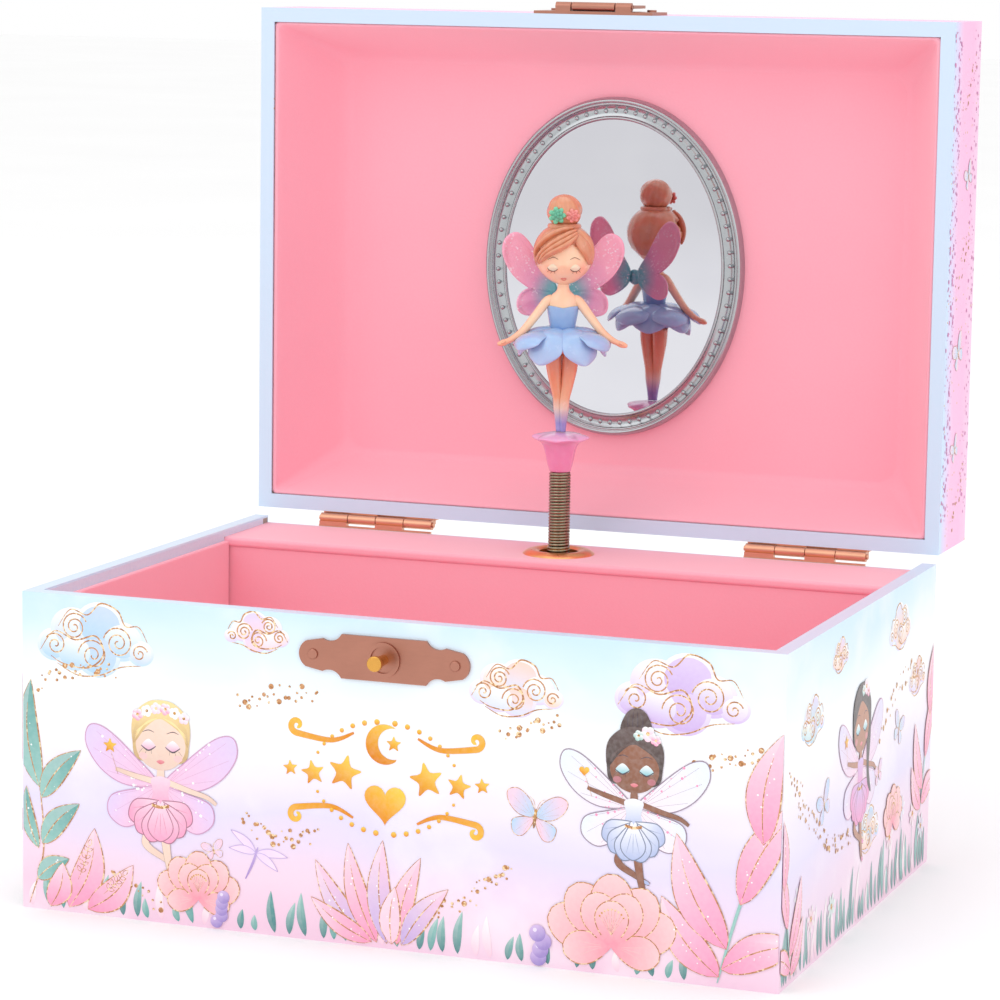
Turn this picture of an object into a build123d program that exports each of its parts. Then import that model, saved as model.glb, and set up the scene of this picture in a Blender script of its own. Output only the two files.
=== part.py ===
from build123d import *
import os
from math import atan2, cos, degrees, radians, sin, sqrt

os.makedirs("parts", exist_ok=True)

# Musical jewellery box, shown open with the doll standing. Millimetres, +Z up.
# The origin is the centre of the underside of the base, and the front faces -Y.

# ---- Case ----
box_width = 152.0
box_depth = 108.0
base_height = 62.0
lid_height = 22.5
board = 2.6  # greyboard thickness
paper = 0.4  # printed wrap thickness
lid_gap = 0.3  # between the closed lid's rim and the base's rim
wall = board + paper

# ---- Tray and music compartment ----
lining = 1.2  # padded card on the tray walls
floor_pad = 1.0
lining_drop = 2.2  # the lining stops this far below the rim
divider_clear = 0.93  # between the crown wheel and the dividing wall
divider = 2.0
cover_thickness = 2.0
cover_drop = 1.5  # the cover's top is this far below the side rims
cover_overhang = 0.6

# ---- Lid lining and mirror ----
lid_taper_x = 11.0  # how far the lid lining leans in at each end
lid_taper_z = 8.5
ceiling_pad = 1.5
lid_card = 1.0
mirror_width = 48.4
mirror_height = 62.8
mirror_x = -1.1
mirror_rise = 0.3  # centre of the mirror above the lid's middle
frame_rim = 4.8  # width of the mirror's frame
frame_height = 2.4
glass_height = 1.3

# ---- Hinges ----
hinge_back = 1.4  # pivot behind the rear face
hinge_up = 0.2  # pivot above the base's rim
hinge_offset = 48.0
hinge_width = 26.0
knuckles = 4
knuckle_gap = 0.2
barrel_radius = 1.05
hinge_pin_radius = 0.55
leaf = 0.6
leaf_length = 11.0
running_fit = 0.05
leaf_clear = 0.3  # between a leaf and the knuckles of the other leaf
pin_end = 0.3  # a hinge pin stands this far out of its end knuckles
hinge_screw_pitch = 16.0
hinge_screw_head = 0.5
hinge_screw_radius = 0.8

# ---- Catch and hasp ----
catch_x = -1.0
catch_height = 8.3
catch_length = 34.0
catch_drop = 7.2  # centre of the catch plate below the rim
plate = 0.6
boss_radius = 3.3
boss_rise = 0.4
boss_rim = 0.8
stud_radius = 1.0
stud_head = 1.45
stud_length = 4.4
stud_head_length = 1.0
rivet_radius = 1.0
rivet_shank = 0.6
rivet_head = 0.45
hasp_width = 26.0
hasp_length = 11.0
flap_width = 16.5
flap_length = 11.4
hasp_axis_rise = 1.6  # hasp pivot above the lid's front face
hasp_axis_in = 1.15  # hasp pivot back from the lid's rim
hasp_barrel = 0.9
hasp_pin_radius = 0.4

# ---- Spindle, spring and doll ----
spindle_x = -1.5
spindle_radius = 1.5
spring_radius = 2.3
spring_bore = 1.55
spring_start = 1.5  # first bend above the cover's top
spring_segments = 5
segment_pitch = 3.1
segment_gap = 0.3
grommet_flange = 7.5
grommet_tube = 5.0
grommet_bore = 4.0
grommet_rise = 0.9
cup_height = 9.2
cup_rim = 6.1
doll_height = 57.8  # spring top to the top of the hair
doll_facing = 20.5  # degrees that the doll is turned from straight ahead towards +X

# ---- Music movement ----
bed = 1.2
axis_up = 24.0
cylinder_radius = 5.5
cylinder_start = 11.5  # first end of the cylinder, right of the spindle
cylinder_length = 20.0
arbor_radius = 1.0
pinion_teeth = 9
pinion_radius = 3.0
crown_teeth = 20
crown_rim = 0.8  # the crown wheel reaches this far beyond its tooth circle
crown_clear = 1 / 3  # between the crown wheel and the bedplate
barrel_teeth = 30
tooth_face = 2.0
train_teeth = 28
layshaft_teeth = 8
train_module = 0.5
worm_wheel_radius = 4.0
worm_radius = 1.1
fly_radius = 5.0
comb_teeth = 18
comb_thickness = 0.8
key_wing = 10.0
key_shaft_radius = 2.0
cheek = 1.0  # thickness of the movement's bearing plates
cheek_clear = 0.8  # between the cylinder's ends and the cheeks
screw_radius = 1.2
screw_head_radius = 2.2
screw_head = 1.0
screw_slot = 0.5  # width of a screwdriver slot
slot_depth = 0.4
drum_wall = 0.8
tooth_height = 1.4
stud_thick = 0.75
flange = 1.4  # thickness of the barrel's toothed flange
crown_thick = 1.2
fly_shaft = 0.6
stop_travel = 2.5
stop_radius = 0.6

# ---- Places worked out from the sizes ----
half_w = box_width / 2
half_d = box_depth / 2
cover_top = base_height - cover_drop
cover_bottom = cover_top - cover_thickness
board_back = half_d - wall  # inner face of the back board
crown_radius = crown_teeth / pinion_teeth * pinion_radius
spindle_y = board_back - bed - crown_clear - crown_rim - crown_radius
divider_back = spindle_y - crown_radius - crown_rim - divider_clear
divider_front = divider_back - divider
cover_front = divider_front - cover_overhang
tray_floor = board + floor_pad
pivot_y = half_d + hinge_back
pivot_z = base_height + hinge_up
lid_open_y = pivot_y + base_height + lid_gap - pivot_z  # plane of the open lid's mouth
lid_low_z = pivot_z + hinge_back  # hinged face of the open lid
lid_high_z = lid_low_z + box_depth
lid_back_y = lid_open_y + lid_height
lid_mid_z = (lid_low_z + lid_high_z) / 2
ceiling_y = lid_back_y - wall - ceiling_pad
spring_base = cover_top + spring_start
spring_top = spring_base + spring_segments * segment_pitch
axis_y = spindle_y
axis_z = axis_up
bed_front = board_back - bed
catch_z = base_height - catch_drop


def block(x, y, z, mode=Mode.ADD):
    """A box between two values on each axis."""
    middle = ((x[0] + x[1]) / 2, (y[0] + y[1]) / 2, (z[0] + z[1]) / 2)
    with Locations(middle):
        Box(x[1] - x[0], y[1] - y[0], z[1] - z[0], mode=mode)


def rod(start, end, radius, mode=Mode.ADD):
    """A round bar between two points."""
    line = Vector(*end) - Vector(*start)
    with BuildSketch(Plane(origin=start, z_dir=line.normalized())) as section:
        Circle(radius)
    extrude(section.sketch, amount=line.length, mode=mode)


def toothed_outline(count, pitch_radius, height, thickness):
    """The outline of a spur wheel: a disc and tapered teeth, the first one along the sketch's x."""
    root = pitch_radius - height * 0.55
    Circle(root)
    with PolarLocations(root + height / 2, count):
        with Locations(Rotation(0, 0, -90)):
            Trapezoid(thickness * 1.25, height + 0.2, 78)


# ================= Base case =================
with BuildPart() as base_bottom_board:
    block((-half_w + wall, half_w - wall), (-half_d + wall, half_d - wall), (0, board))
base_bottom_board.part.label = "base_bottom_board"
export_step(base_bottom_board.part, "parts/base_bottom_board.step")

with BuildPart() as base_front_board:
    block((-half_w + wall, half_w - wall), (-half_d + paper, -half_d + wall), (0, base_height - paper))
    rod((catch_x, -half_d + wall, catch_z), (catch_x, -half_d, catch_z), stud_radius, Mode.SUBTRACT)
base_front_board.part.label = "base_front_board"
export_step(base_front_board.part, "parts/base_front_board.step")

cylinder_left = spindle_x + cylinder_start
cylinder_right = cylinder_left + cylinder_length
barrel_wheel_radius = barrel_teeth / pinion_teeth * pinion_radius
barrel_pinion_x = cylinder_right + cheek_clear + cheek + 0.5 + tooth_face / 2
barrel_x = barrel_pinion_x + barrel_wheel_radius
key_bore = key_shaft_radius + 0.6
bed_left = spindle_x - 28.5
bed_right = barrel_x + 13.0
bed_low = axis_z - 16.0
bed_high = axis_z + 21.0
bed_screws = [
    (bed_left + 5, bed_high - 5),
    (bed_right - 5, bed_high - 5),
    (spindle_x + 4, bed_low + 4),
]
leaf_top = pivot_z - barrel_radius - leaf_clear
hinge_screws = [
    (side * hinge_offset + end * hinge_screw_pitch / 2, leaf_top - leaf_length / 2)
    for side in (-1, 1)
    for end in (-1, 1)
]


def rear_holes():
    """The holes through the back wall for the key, the movement's screws and the hinge screws."""
    rod((barrel_x, half_d - wall, axis_z), (barrel_x, half_d, axis_z), key_bore, Mode.SUBTRACT)
    for x, z in bed_screws:
        rod((x, half_d - wall, z), (x, half_d, z), screw_radius, Mode.SUBTRACT)
    for x, z in hinge_screws:
        rod((x, half_d - board, z), (x, half_d, z), hinge_screw_radius, Mode.SUBTRACT)


with BuildPart() as base_back_board:
    block((-half_w + wall, half_w - wall), (half_d - wall, half_d - paper), (0, cover_bottom))
    rear_holes()
base_back_board.part.label = "base_back_board"
export_step(base_back_board.part, "parts/base_back_board.step")

with BuildPart() as base_left_board:
    block((-half_w + paper, -half_w + wall), (-half_d + paper, half_d - paper), (0, base_height - paper))
base_left_board.part.label = "base_left_board"
export_step(base_left_board.part, "parts/base_left_board.step")

with BuildPart() as base_right_board:
    block((half_w - wall, half_w - paper), (-half_d + paper, half_d - paper), (0, base_height - paper))
base_right_board.part.label = "base_right_board"
export_step(base_right_board.part, "parts/base_right_board.step")

# The printed paper covers the outside and turns over the rims; at the back the cover takes its place.
with BuildPart() as base_wrap:
    block((-half_w, half_w), (-half_d, half_d), (0, base_height))
    block(
        (-half_w + paper, half_w - paper),
        (-half_d + paper, half_d - paper),
        (0, base_height - paper),
        Mode.SUBTRACT,
    )
    block(
        (-half_w + wall, half_w - wall),
        (-half_d + wall, half_d - paper),
        (base_height - paper, base_height),
        Mode.SUBTRACT,
    )
    block((-half_w + wall, half_w - wall), (half_d - paper, half_d), (cover_top, base_height), Mode.SUBTRACT)
    rod((catch_x, -half_d + paper, catch_z), (catch_x, -half_d, catch_z), stud_radius, Mode.SUBTRACT)
    rear_holes()
base_wrap.part.label = "base_wrap"
export_step(base_wrap.part, "parts/base_wrap.step")

# ================= Tray =================
with BuildPart() as tray_floor_lining:
    block((-half_w + wall, half_w - wall), (-half_d + wall, divider_front), (board, tray_floor))
tray_floor_lining.part.label = "tray_floor_lining"
export_step(tray_floor_lining.part, "parts/tray_floor_lining.step")

lining_top = base_height - lining_drop
with BuildPart() as tray_wall_linings:
    inner = half_w - wall
    for near, far in ((-inner, -inner + lining), (inner - lining, inner)):
        block((near, far), (-half_d + wall, cover_front), (tray_floor, lining_top))
    block(
        (-inner + lining, inner - lining),
        (-half_d + wall, -half_d + wall + lining),
        (tray_floor, lining_top),
    )
    fillet(tray_wall_linings.edges().group_by(Axis.Z)[-1], lining * 0.4)
tray_wall_linings.part.label = "tray_wall_linings"
export_step(tray_wall_linings.part, "parts/tray_wall_linings.step")

with BuildPart() as compartment_wall:
    block((-half_w + wall, half_w - wall), (divider_front, divider_back), (board, cover_bottom))
compartment_wall.part.label = "compartment_wall"
export_step(compartment_wall.part, "parts/compartment_wall.step")

stop_x = spindle_x - 3.0
stop_y = board_back - 1.0
with BuildPart() as compartment_cover:
    block((-half_w + wall, half_w - wall), (cover_front, half_d - paper), (cover_bottom, cover_top))
    front_edges = compartment_cover.edges().filter_by(Axis.X).group_by(Axis.Y)[0]
    fillet(front_edges, cover_thickness * 0.4)
    rod((spindle_x, spindle_y, cover_bottom), (spindle_x, spindle_y, cover_top), grommet_tube, Mode.SUBTRACT)
    rod(
        (stop_x, stop_y, cover_bottom),
        (stop_x, stop_y, cover_top),
        stop_radius + running_fit,
        Mode.SUBTRACT,
    )
compartment_cover.part.label = "compartment_cover"
export_step(compartment_cover.part, "parts/compartment_cover.step")

# An eyelet with a rolled flange on the cover, round the spring.
with BuildPart() as spindle_grommet:
    with BuildSketch(Plane.XZ.offset(-spindle_y)):
        with BuildLine():
            Polyline(
                (spindle_x + grommet_bore, cover_bottom - 1.0),
                (spindle_x + grommet_bore, cover_top + grommet_rise * 0.5),
            )
            ThreePointArc(
                (spindle_x + grommet_bore, cover_top + grommet_rise * 0.5),
                (spindle_x + (grommet_bore + grommet_flange) / 2, cover_top + grommet_rise),
                (spindle_x + grommet_flange, cover_top),
            )
            Polyline(
                (spindle_x + grommet_flange, cover_top),
                (spindle_x + grommet_tube, cover_top),
                (spindle_x + grommet_tube, cover_bottom - 1.0),
                (spindle_x + grommet_bore, cover_bottom - 1.0),
            )
        make_face()
    revolve(axis=Axis((spindle_x, spindle_y, 0), (0, 0, 1)))
spindle_grommet.part.label = "spindle_grommet"
export_step(spindle_grommet.part, "parts/spindle_grommet.step")

# ================= Catch =================
front_face = Plane((catch_x, -half_d, catch_z), x_dir=(1, 0, 0), z_dir=(0, -1, 0))
catch_end = catch_length / 2
rivet_offset = catch_end - catch_height * 0.34
shoulder = catch_height * 1.02  # half width of the plate's full-height middle
neck = (catch_end * 0.61, catch_height * 0.33)  # lowest place of each scooped shoulder
lobe = (catch_end * 0.72, catch_height * 0.37)  # inner corner of each end lobe
tip = (catch_end * 0.92, catch_height * 0.29)
with BuildPart() as catch_plate:
    with BuildSketch(front_face):
        with BuildLine():
            Line((0, catch_height / 2), (shoulder, catch_height / 2))
            ThreePointArc((shoulder, catch_height / 2), neck, lobe)
            Line(lobe, tip)
            RadiusArc(tip, (catch_end, 0), catch_height * 0.34)
            mirror(about=Plane.YZ)
            mirror(about=Plane.XZ)
        make_face()
    extrude(amount=plate)
    with BuildSketch(front_face.offset(plate)):
        Circle(boss_radius)
        Circle(boss_radius - boss_rim, mode=Mode.SUBTRACT)
    extrude(amount=boss_rise)
    with BuildSketch(front_face):
        with Locations((-rivet_offset, 0), (rivet_offset, 0)):
            Circle(rivet_shank)
        Circle(stud_radius)
    extrude(amount=plate, mode=Mode.SUBTRACT)
catch_plate.part.label = "catch_plate"
export_step(catch_plate.part, "parts/catch_plate.step")

# The stud's tail runs through the plate, paper and board; the hasp's hole drops over its head.
with BuildPart() as catch_stud:
    with BuildSketch(front_face.offset(-wall)):
        Circle(stud_radius)
    extrude(amount=wall + stud_length)
    with BuildSketch(front_face.offset(stud_length)):
        Circle(stud_head)
    extrude(amount=stud_head_length)
    fillet(catch_stud.edges().group_by(Axis.Y)[0], 0.3)
catch_stud.part.label = "catch_stud"
export_step(catch_stud.part, "parts/catch_stud.step")

with BuildPart() as catch_rivets:
    for side in (-1, 1):
        middle = front_face.origin + Vector(side * rivet_offset, -plate, 0)
        with BuildSketch(Plane(middle, x_dir=(1, 0, 0), z_dir=(0, -1, 0))):
            Circle(rivet_radius)
        extrude(amount=rivet_head)
        with BuildSketch(Plane(middle, x_dir=(1, 0, 0), z_dir=(0, -1, 0))):
            Circle(rivet_shank)
        extrude(amount=-plate)
    fillet(catch_rivets.edges().group_by(Axis.Y)[0], 0.3)
catch_rivets.part.label = "catch_rivets"
export_step(catch_rivets.part, "parts/catch_rivets.step")

# ================= Hinges =================
# Two strap hinges on the rear faces. Knuckles take turns between the base leaf and the lid leaf.
knuckle = hinge_width / knuckles


def knuckle_spans(side, first):
    """The ends along X of every other knuckle of one hinge."""
    left = side * hinge_offset - hinge_width / 2
    for number in range(first, knuckles, 2):
        yield left + number * knuckle + knuckle_gap / 2, left + (number + 1) * knuckle - knuckle_gap / 2


with BuildPart() as hinge_base_leaves:
    for side in (-1, 1):
        left = side * hinge_offset - hinge_width / 2
        block((left, left + hinge_width), (half_d, half_d + leaf), (leaf_top - leaf_length, leaf_top))
        for start, end in knuckle_spans(side, 0):
            block((start, end), (half_d, pivot_y), (leaf_top - leaf, pivot_z - hinge_pin_radius))
            rod((start, pivot_y, pivot_z), (end, pivot_y, pivot_z), barrel_radius)
            rod((start, pivot_y, pivot_z), (end, pivot_y, pivot_z), hinge_pin_radius, Mode.SUBTRACT)
    for x, z in hinge_screws:
        rod((x, half_d, z), (x, half_d + leaf, z), hinge_screw_radius, Mode.SUBTRACT)
hinge_base_leaves.part.label = "hinge_base_leaves"
export_step(hinge_base_leaves.part, "parts/hinge_base_leaves.step")

with BuildPart() as hinge_pins:
    for side in (-1, 1):
        left = side * hinge_offset - hinge_width / 2
        right = left + hinge_width
        rod((left - pin_end, pivot_y, pivot_z), (right + pin_end, pivot_y, pivot_z), hinge_pin_radius)
hinge_pins.part.label = "hinge_pins"
export_step(hinge_pins.part, "parts/hinge_pins.step")

with BuildPart() as hinge_base_screws:
    for x, z in hinge_screws:
        rod((x, half_d - board, z), (x, half_d + leaf, z), hinge_screw_radius)
        rod((x, half_d + leaf, z), (x, half_d + leaf + hinge_screw_head, z), hinge_screw_radius * 2)
hinge_base_screws.part.label = "hinge_base_screws"
export_step(hinge_base_screws.part, "parts/hinge_base_screws.step")

# On the open lid the leaves lie under its hinged face and point back.
lid_leaf_start = pivot_y + barrel_radius + leaf_clear
lid_screws = [(x, lid_leaf_start + leaf_length / 2) for x, z in hinge_screws]
with BuildPart() as hinge_lid_leaves:
    for side in (-1, 1):
        left = side * hinge_offset - hinge_width / 2
        block(
            (left, left + hinge_width),
            (lid_leaf_start, lid_leaf_start + leaf_length),
            (lid_low_z - leaf, lid_low_z),
        )
        for start, end in knuckle_spans(side, 1):
            block((start, end), (pivot_y + hinge_pin_radius, lid_leaf_start + leaf), (pivot_z, lid_low_z))
            rod((start, pivot_y, pivot_z), (end, pivot_y, pivot_z), barrel_radius)
            bore = hinge_pin_radius + running_fit
            rod((start, pivot_y, pivot_z), (end, pivot_y, pivot_z), bore, Mode.SUBTRACT)
    for x, y in lid_screws:
        rod((x, y, lid_low_z), (x, y, lid_low_z - leaf), hinge_screw_radius, Mode.SUBTRACT)
hinge_lid_leaves.part.label = "hinge_lid_leaves"
export_step(hinge_lid_leaves.part, "parts/hinge_lid_leaves.step")

with BuildPart() as hinge_lid_screws:
    for x, y in lid_screws:
        rod((x, y, lid_low_z + board), (x, y, lid_low_z - leaf), hinge_screw_radius)
        head_low = lid_low_z - leaf - hinge_screw_head
        rod((x, y, lid_low_z - leaf), (x, y, head_low), hinge_screw_radius * 2)
hinge_lid_screws.part.label = "hinge_lid_screws"
export_step(hinge_lid_screws.part, "parts/hinge_lid_screws.step")

# ================= Lid case =================
with BuildPart() as lid_top_board:
    block(
        (-half_w + paper, half_w - paper),
        (lid_back_y - wall, lid_back_y - paper),
        (lid_low_z + paper, lid_high_z - paper),
    )
lid_top_board.part.label = "lid_top_board"
export_step(lid_top_board.part, "parts/lid_top_board.step")

hasp_y = lid_open_y + hasp_axis_in
hasp_z = lid_high_z + hasp_axis_rise
hasp_rivets_at = [(catch_x + side * (hasp_width / 2 - 2.4), hasp_y + hasp_length * 0.55) for side in (-1, 1)]
with BuildPart() as lid_front_board:
    block(
        (-half_w + wall, half_w - wall),
        (lid_open_y + paper, lid_back_y - wall),
        (lid_high_z - wall, lid_high_z - paper),
    )
    for x, y in hasp_rivets_at:
        rod((x, y, lid_high_z - wall), (x, y, lid_high_z), rivet_shank, Mode.SUBTRACT)
lid_front_board.part.label = "lid_front_board"
export_step(lid_front_board.part, "parts/lid_front_board.step")

with BuildPart() as lid_back_board:
    block(
        (-half_w + wall, half_w - wall),
        (lid_open_y + paper, lid_back_y - wall),
        (lid_low_z + paper, lid_low_z + wall),
    )
    for x, y in lid_screws:
        rod((x, y, lid_low_z), (x, y, lid_low_z + board), hinge_screw_radius, Mode.SUBTRACT)
lid_back_board.part.label = "lid_back_board"
export_step(lid_back_board.part, "parts/lid_back_board.step")

with BuildPart() as lid_left_board:
    block(
        (-half_w + paper, -half_w + wall),
        (lid_open_y + paper, lid_back_y - wall),
        (lid_low_z + paper, lid_high_z - paper),
    )
lid_left_board.part.label = "lid_left_board"
export_step(lid_left_board.part, "parts/lid_left_board.step")

with BuildPart() as lid_right_board:
    block(
        (half_w - wall, half_w - paper),
        (lid_open_y + paper, lid_back_y - wall),
        (lid_low_z + paper, lid_high_z - paper),
    )
lid_right_board.part.label = "lid_right_board"
export_step(lid_right_board.part, "parts/lid_right_board.step")

with BuildPart() as lid_wrap:
    block((-half_w, half_w), (lid_open_y, lid_back_y), (lid_low_z, lid_high_z))
    block(
        (-half_w + paper, half_w - paper),
        (lid_open_y + paper, lid_back_y - paper),
        (lid_low_z + paper, lid_high_z - paper),
        Mode.SUBTRACT,
    )
    block(
        (-half_w + wall, half_w - wall),
        (lid_open_y, lid_open_y + paper),
        (lid_low_z + wall, lid_high_z - wall),
        Mode.SUBTRACT,
    )
    for x, y in lid_screws:
        rod((x, y, lid_low_z), (x, y, lid_low_z + paper), hinge_screw_radius, Mode.SUBTRACT)
    for x, y in hasp_rivets_at:
        rod((x, y, lid_high_z - paper), (x, y, lid_high_z), rivet_shank, Mode.SUBTRACT)
lid_wrap.part.label = "lid_wrap"
export_step(lid_wrap.part, "parts/lid_wrap.step")

# ================= Lid lining and mirror =================
mouth = Plane((0, lid_open_y + paper, lid_mid_z), x_dir=(1, 0, 0), z_dir=(0, 1, 0))
lining_depth = ceiling_y - lid_open_y - paper
mouth_w = box_width - 2 * wall
mouth_h = box_depth - 2 * wall
ceiling_w = mouth_w - 2 * lid_taper_x
ceiling_h = mouth_h - 2 * lid_taper_z
with BuildPart() as lid_ceiling_lining:
    block(
        (-ceiling_w / 2, ceiling_w / 2),
        (ceiling_y, lid_back_y - wall),
        (lid_mid_z - ceiling_h / 2, lid_mid_z + ceiling_h / 2),
    )
lid_ceiling_lining.part.label = "lid_ceiling_lining"
export_step(lid_ceiling_lining.part, "parts/lid_ceiling_lining.step")

# Four leaning card panels between the rim and the ceiling, joined at the corners.
with BuildPart() as lid_wall_lining:
    with BuildSketch(mouth):
        Rectangle(mouth_w, mouth_h)
    with BuildSketch(mouth.offset(lining_depth)):
        Rectangle(ceiling_w + 2 * lid_card, ceiling_h + 2 * lid_card)
    loft()
    with BuildSketch(mouth):
        Rectangle(mouth_w - 2 * lid_card, mouth_h - 2 * lid_card)
    with BuildSketch(mouth.offset(lining_depth)):
        Rectangle(ceiling_w, ceiling_h)
    loft(mode=Mode.SUBTRACT)
lid_wall_lining.part.label = "lid_wall_lining"
export_step(lid_wall_lining.part, "parts/lid_wall_lining.step")

mirror_plane = Plane((mirror_x, ceiling_y, lid_mid_z + mirror_rise), x_dir=(1, 0, 0), z_dir=(0, -1, 0))
with BuildPart() as mirror_glass:
    with BuildSketch(mirror_plane):
        Ellipse(mirror_width / 2, mirror_height / 2)
    extrude(amount=glass_height)
mirror_glass.part.label = "mirror_glass"
export_step(mirror_glass.part, "parts/mirror_glass.step")

with BuildPart() as mirror_frame:
    with BuildSketch(mirror_plane):
        Ellipse(mirror_width / 2 + frame_rim, mirror_height / 2 + frame_rim)
        Ellipse(mirror_width / 2, mirror_height / 2, mode=Mode.SUBTRACT)
    extrude(amount=frame_height)
    fillet(mirror_frame.edges().group_by(Axis.Y)[0], 0.6)
mirror_frame.part.label = "mirror_frame"
export_step(mirror_frame.part, "parts/mirror_frame.step")

# ================= Hasp =================
# The plate is riveted to the lid's front face; its outer knuckles carry the pin.
flap_knuckle = flap_width - 7.0
with BuildPart() as hasp_plate:
    block(
        (catch_x - hasp_width / 2, catch_x + hasp_width / 2),
        (hasp_y - hasp_barrel, hasp_y + hasp_length),
        (lid_high_z, lid_high_z + plate),
    )
    fillet(hasp_plate.edges().filter_by(Axis.Z).group_by(Axis.Y)[-1], 2.4)
    for side in (-1, 1):
        near = catch_x + side * (flap_knuckle / 2 + knuckle_gap)
        far = catch_x + side * flap_width / 2
        block((min(near, far), max(near, far)), (hasp_y - hasp_barrel, hasp_y), (lid_high_z, hasp_z))
        rod((near, hasp_y, hasp_z), (far, hasp_y, hasp_z), hasp_barrel)
        rod((near, hasp_y, hasp_z), (far, hasp_y, hasp_z), hasp_pin_radius, Mode.SUBTRACT)
    for x, y in hasp_rivets_at:
        rod((x, y, lid_high_z), (x, y, lid_high_z + plate), rivet_shank, Mode.SUBTRACT)
hasp_plate.part.label = "hasp_plate"
export_step(hasp_plate.part, "parts/hasp_plate.step")

with BuildPart() as hasp_rivets:
    for x, y in hasp_rivets_at:
        rod((x, y, lid_high_z - wall), (x, y, lid_high_z + plate), rivet_shank)
        rod((x, y, lid_high_z + plate), (x, y, lid_high_z + plate + rivet_head), rivet_radius)
hasp_rivets.part.label = "hasp_rivets"
export_step(hasp_rivets.part, "parts/hasp_rivets.step")

with BuildPart() as hasp_pin:
    ends = (catch_x - flap_width / 2 - 0.2, catch_x + flap_width / 2 + 0.2)
    rod((ends[0], hasp_y, hasp_z), (ends[1], hasp_y, hasp_z), hasp_pin_radius)
hasp_pin.part.label = "hasp_pin"
export_step(hasp_pin.part, "parts/hasp_pin.step")

# The flap is shown flipped back over the plate. Its hole is as far from the pin as the stud is.
stud_reach = hasp_axis_in + lid_gap + catch_drop
with BuildPart() as hasp_flap:
    block(
        (catch_x - flap_width / 2, catch_x + flap_width / 2),
        (hasp_y + hasp_barrel + 0.3, hasp_y + flap_length),
        (hasp_z - plate / 2, hasp_z + plate / 2),
    )
    fillet(hasp_flap.edges().filter_by(Axis.Z).group_by(Axis.Y)[-1], 3.0)
    tongue = flap_knuckle / 2 - knuckle_gap / 2
    block(
        (catch_x - tongue, catch_x + tongue),
        (hasp_y, hasp_y + hasp_barrel + 0.6),
        (hasp_z - plate / 2, hasp_z + plate / 2),
    )
    rod((catch_x - tongue, hasp_y, hasp_z), (catch_x + tongue, hasp_y, hasp_z), hasp_barrel)
    bore = hasp_pin_radius + running_fit
    rod((catch_x - tongue, hasp_y, hasp_z), (catch_x + tongue, hasp_y, hasp_z), bore, Mode.SUBTRACT)
    hole_y = hasp_y + stud_reach
    rod(
        (catch_x, hole_y, hasp_z - plate / 2),
        (catch_x, hole_y, hasp_z + plate / 2),
        stud_head + 0.45,
        Mode.SUBTRACT,
    )
hasp_flap.part.label = "hasp_flap"
export_step(hasp_flap.part, "parts/hasp_flap.step")

# ================= Flexible spring =================
# A close-wound spring cut into short bending segments; each turns on its front edge.
coil = 0.31
coils_per_segment = 4
for number in range(spring_segments):
    low = spring_base + number * segment_pitch + segment_gap / 2
    high = low + segment_pitch - segment_gap
    with BuildPart() as spring_segment:
        with BuildSketch(Plane.XZ.offset(-spindle_y)):
            with Locations((spindle_x + (spring_bore + spring_radius - coil) / 2, (low + high) / 2)):
                Rectangle(spring_radius - coil - spring_bore, high - low)
            for turn in range(coils_per_segment):
                height = low + coil + turn * (high - low - 2 * coil) / (coils_per_segment - 1)
                with Locations((spindle_x + spring_radius - coil, height)):
                    Circle(coil)
        revolve(axis=Axis((spindle_x, spindle_y, 0), (0, 0, 1)))
    name = f"spring_segment_{number + 1}"
    spring_segment.part.label = name
    export_step(spring_segment.part, f"parts/{name}.step")

# ================= Doll =================
doll_axis = Axis((spindle_x, spindle_y, 0), (0, 0, 1))
cup_top = spring_top + cup_height
with BuildPart() as doll_cup:
    with BuildSketch(Plane.XZ.offset(-spindle_y)):
        with BuildLine():
            foot = (spindle_x, spring_top + segment_gap / 2)
            side = (spindle_x + 2.4, spring_top + segment_gap / 2)
            rim = (spindle_x + cup_rim, cup_top)
            Line(foot, side)
            Spline(side, (spindle_x + 3.3, spring_top + cup_height * 0.62), rim)
            Line(rim, (spindle_x + 1.8, cup_top - 0.9))
            Line((spindle_x + 1.8, cup_top - 0.9), (spindle_x, cup_top - 0.9))
            Line((spindle_x, cup_top - 0.9), foot)
        make_face()
    revolve(axis=doll_axis)
doll_cup.part.label = "doll_cup"
export_step(doll_cup.part, "parts/doll_cup.step")

doll_cos = cos(radians(doll_facing))
doll_sin = sin(radians(doll_facing))


def on_doll(x, y, z):
    """A place given from the doll's axis, with the doll's front towards -Y, turned to the way it faces."""
    return spindle_x + x * doll_cos - y * doll_sin, spindle_y + x * doll_sin + y * doll_cos, z


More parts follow.
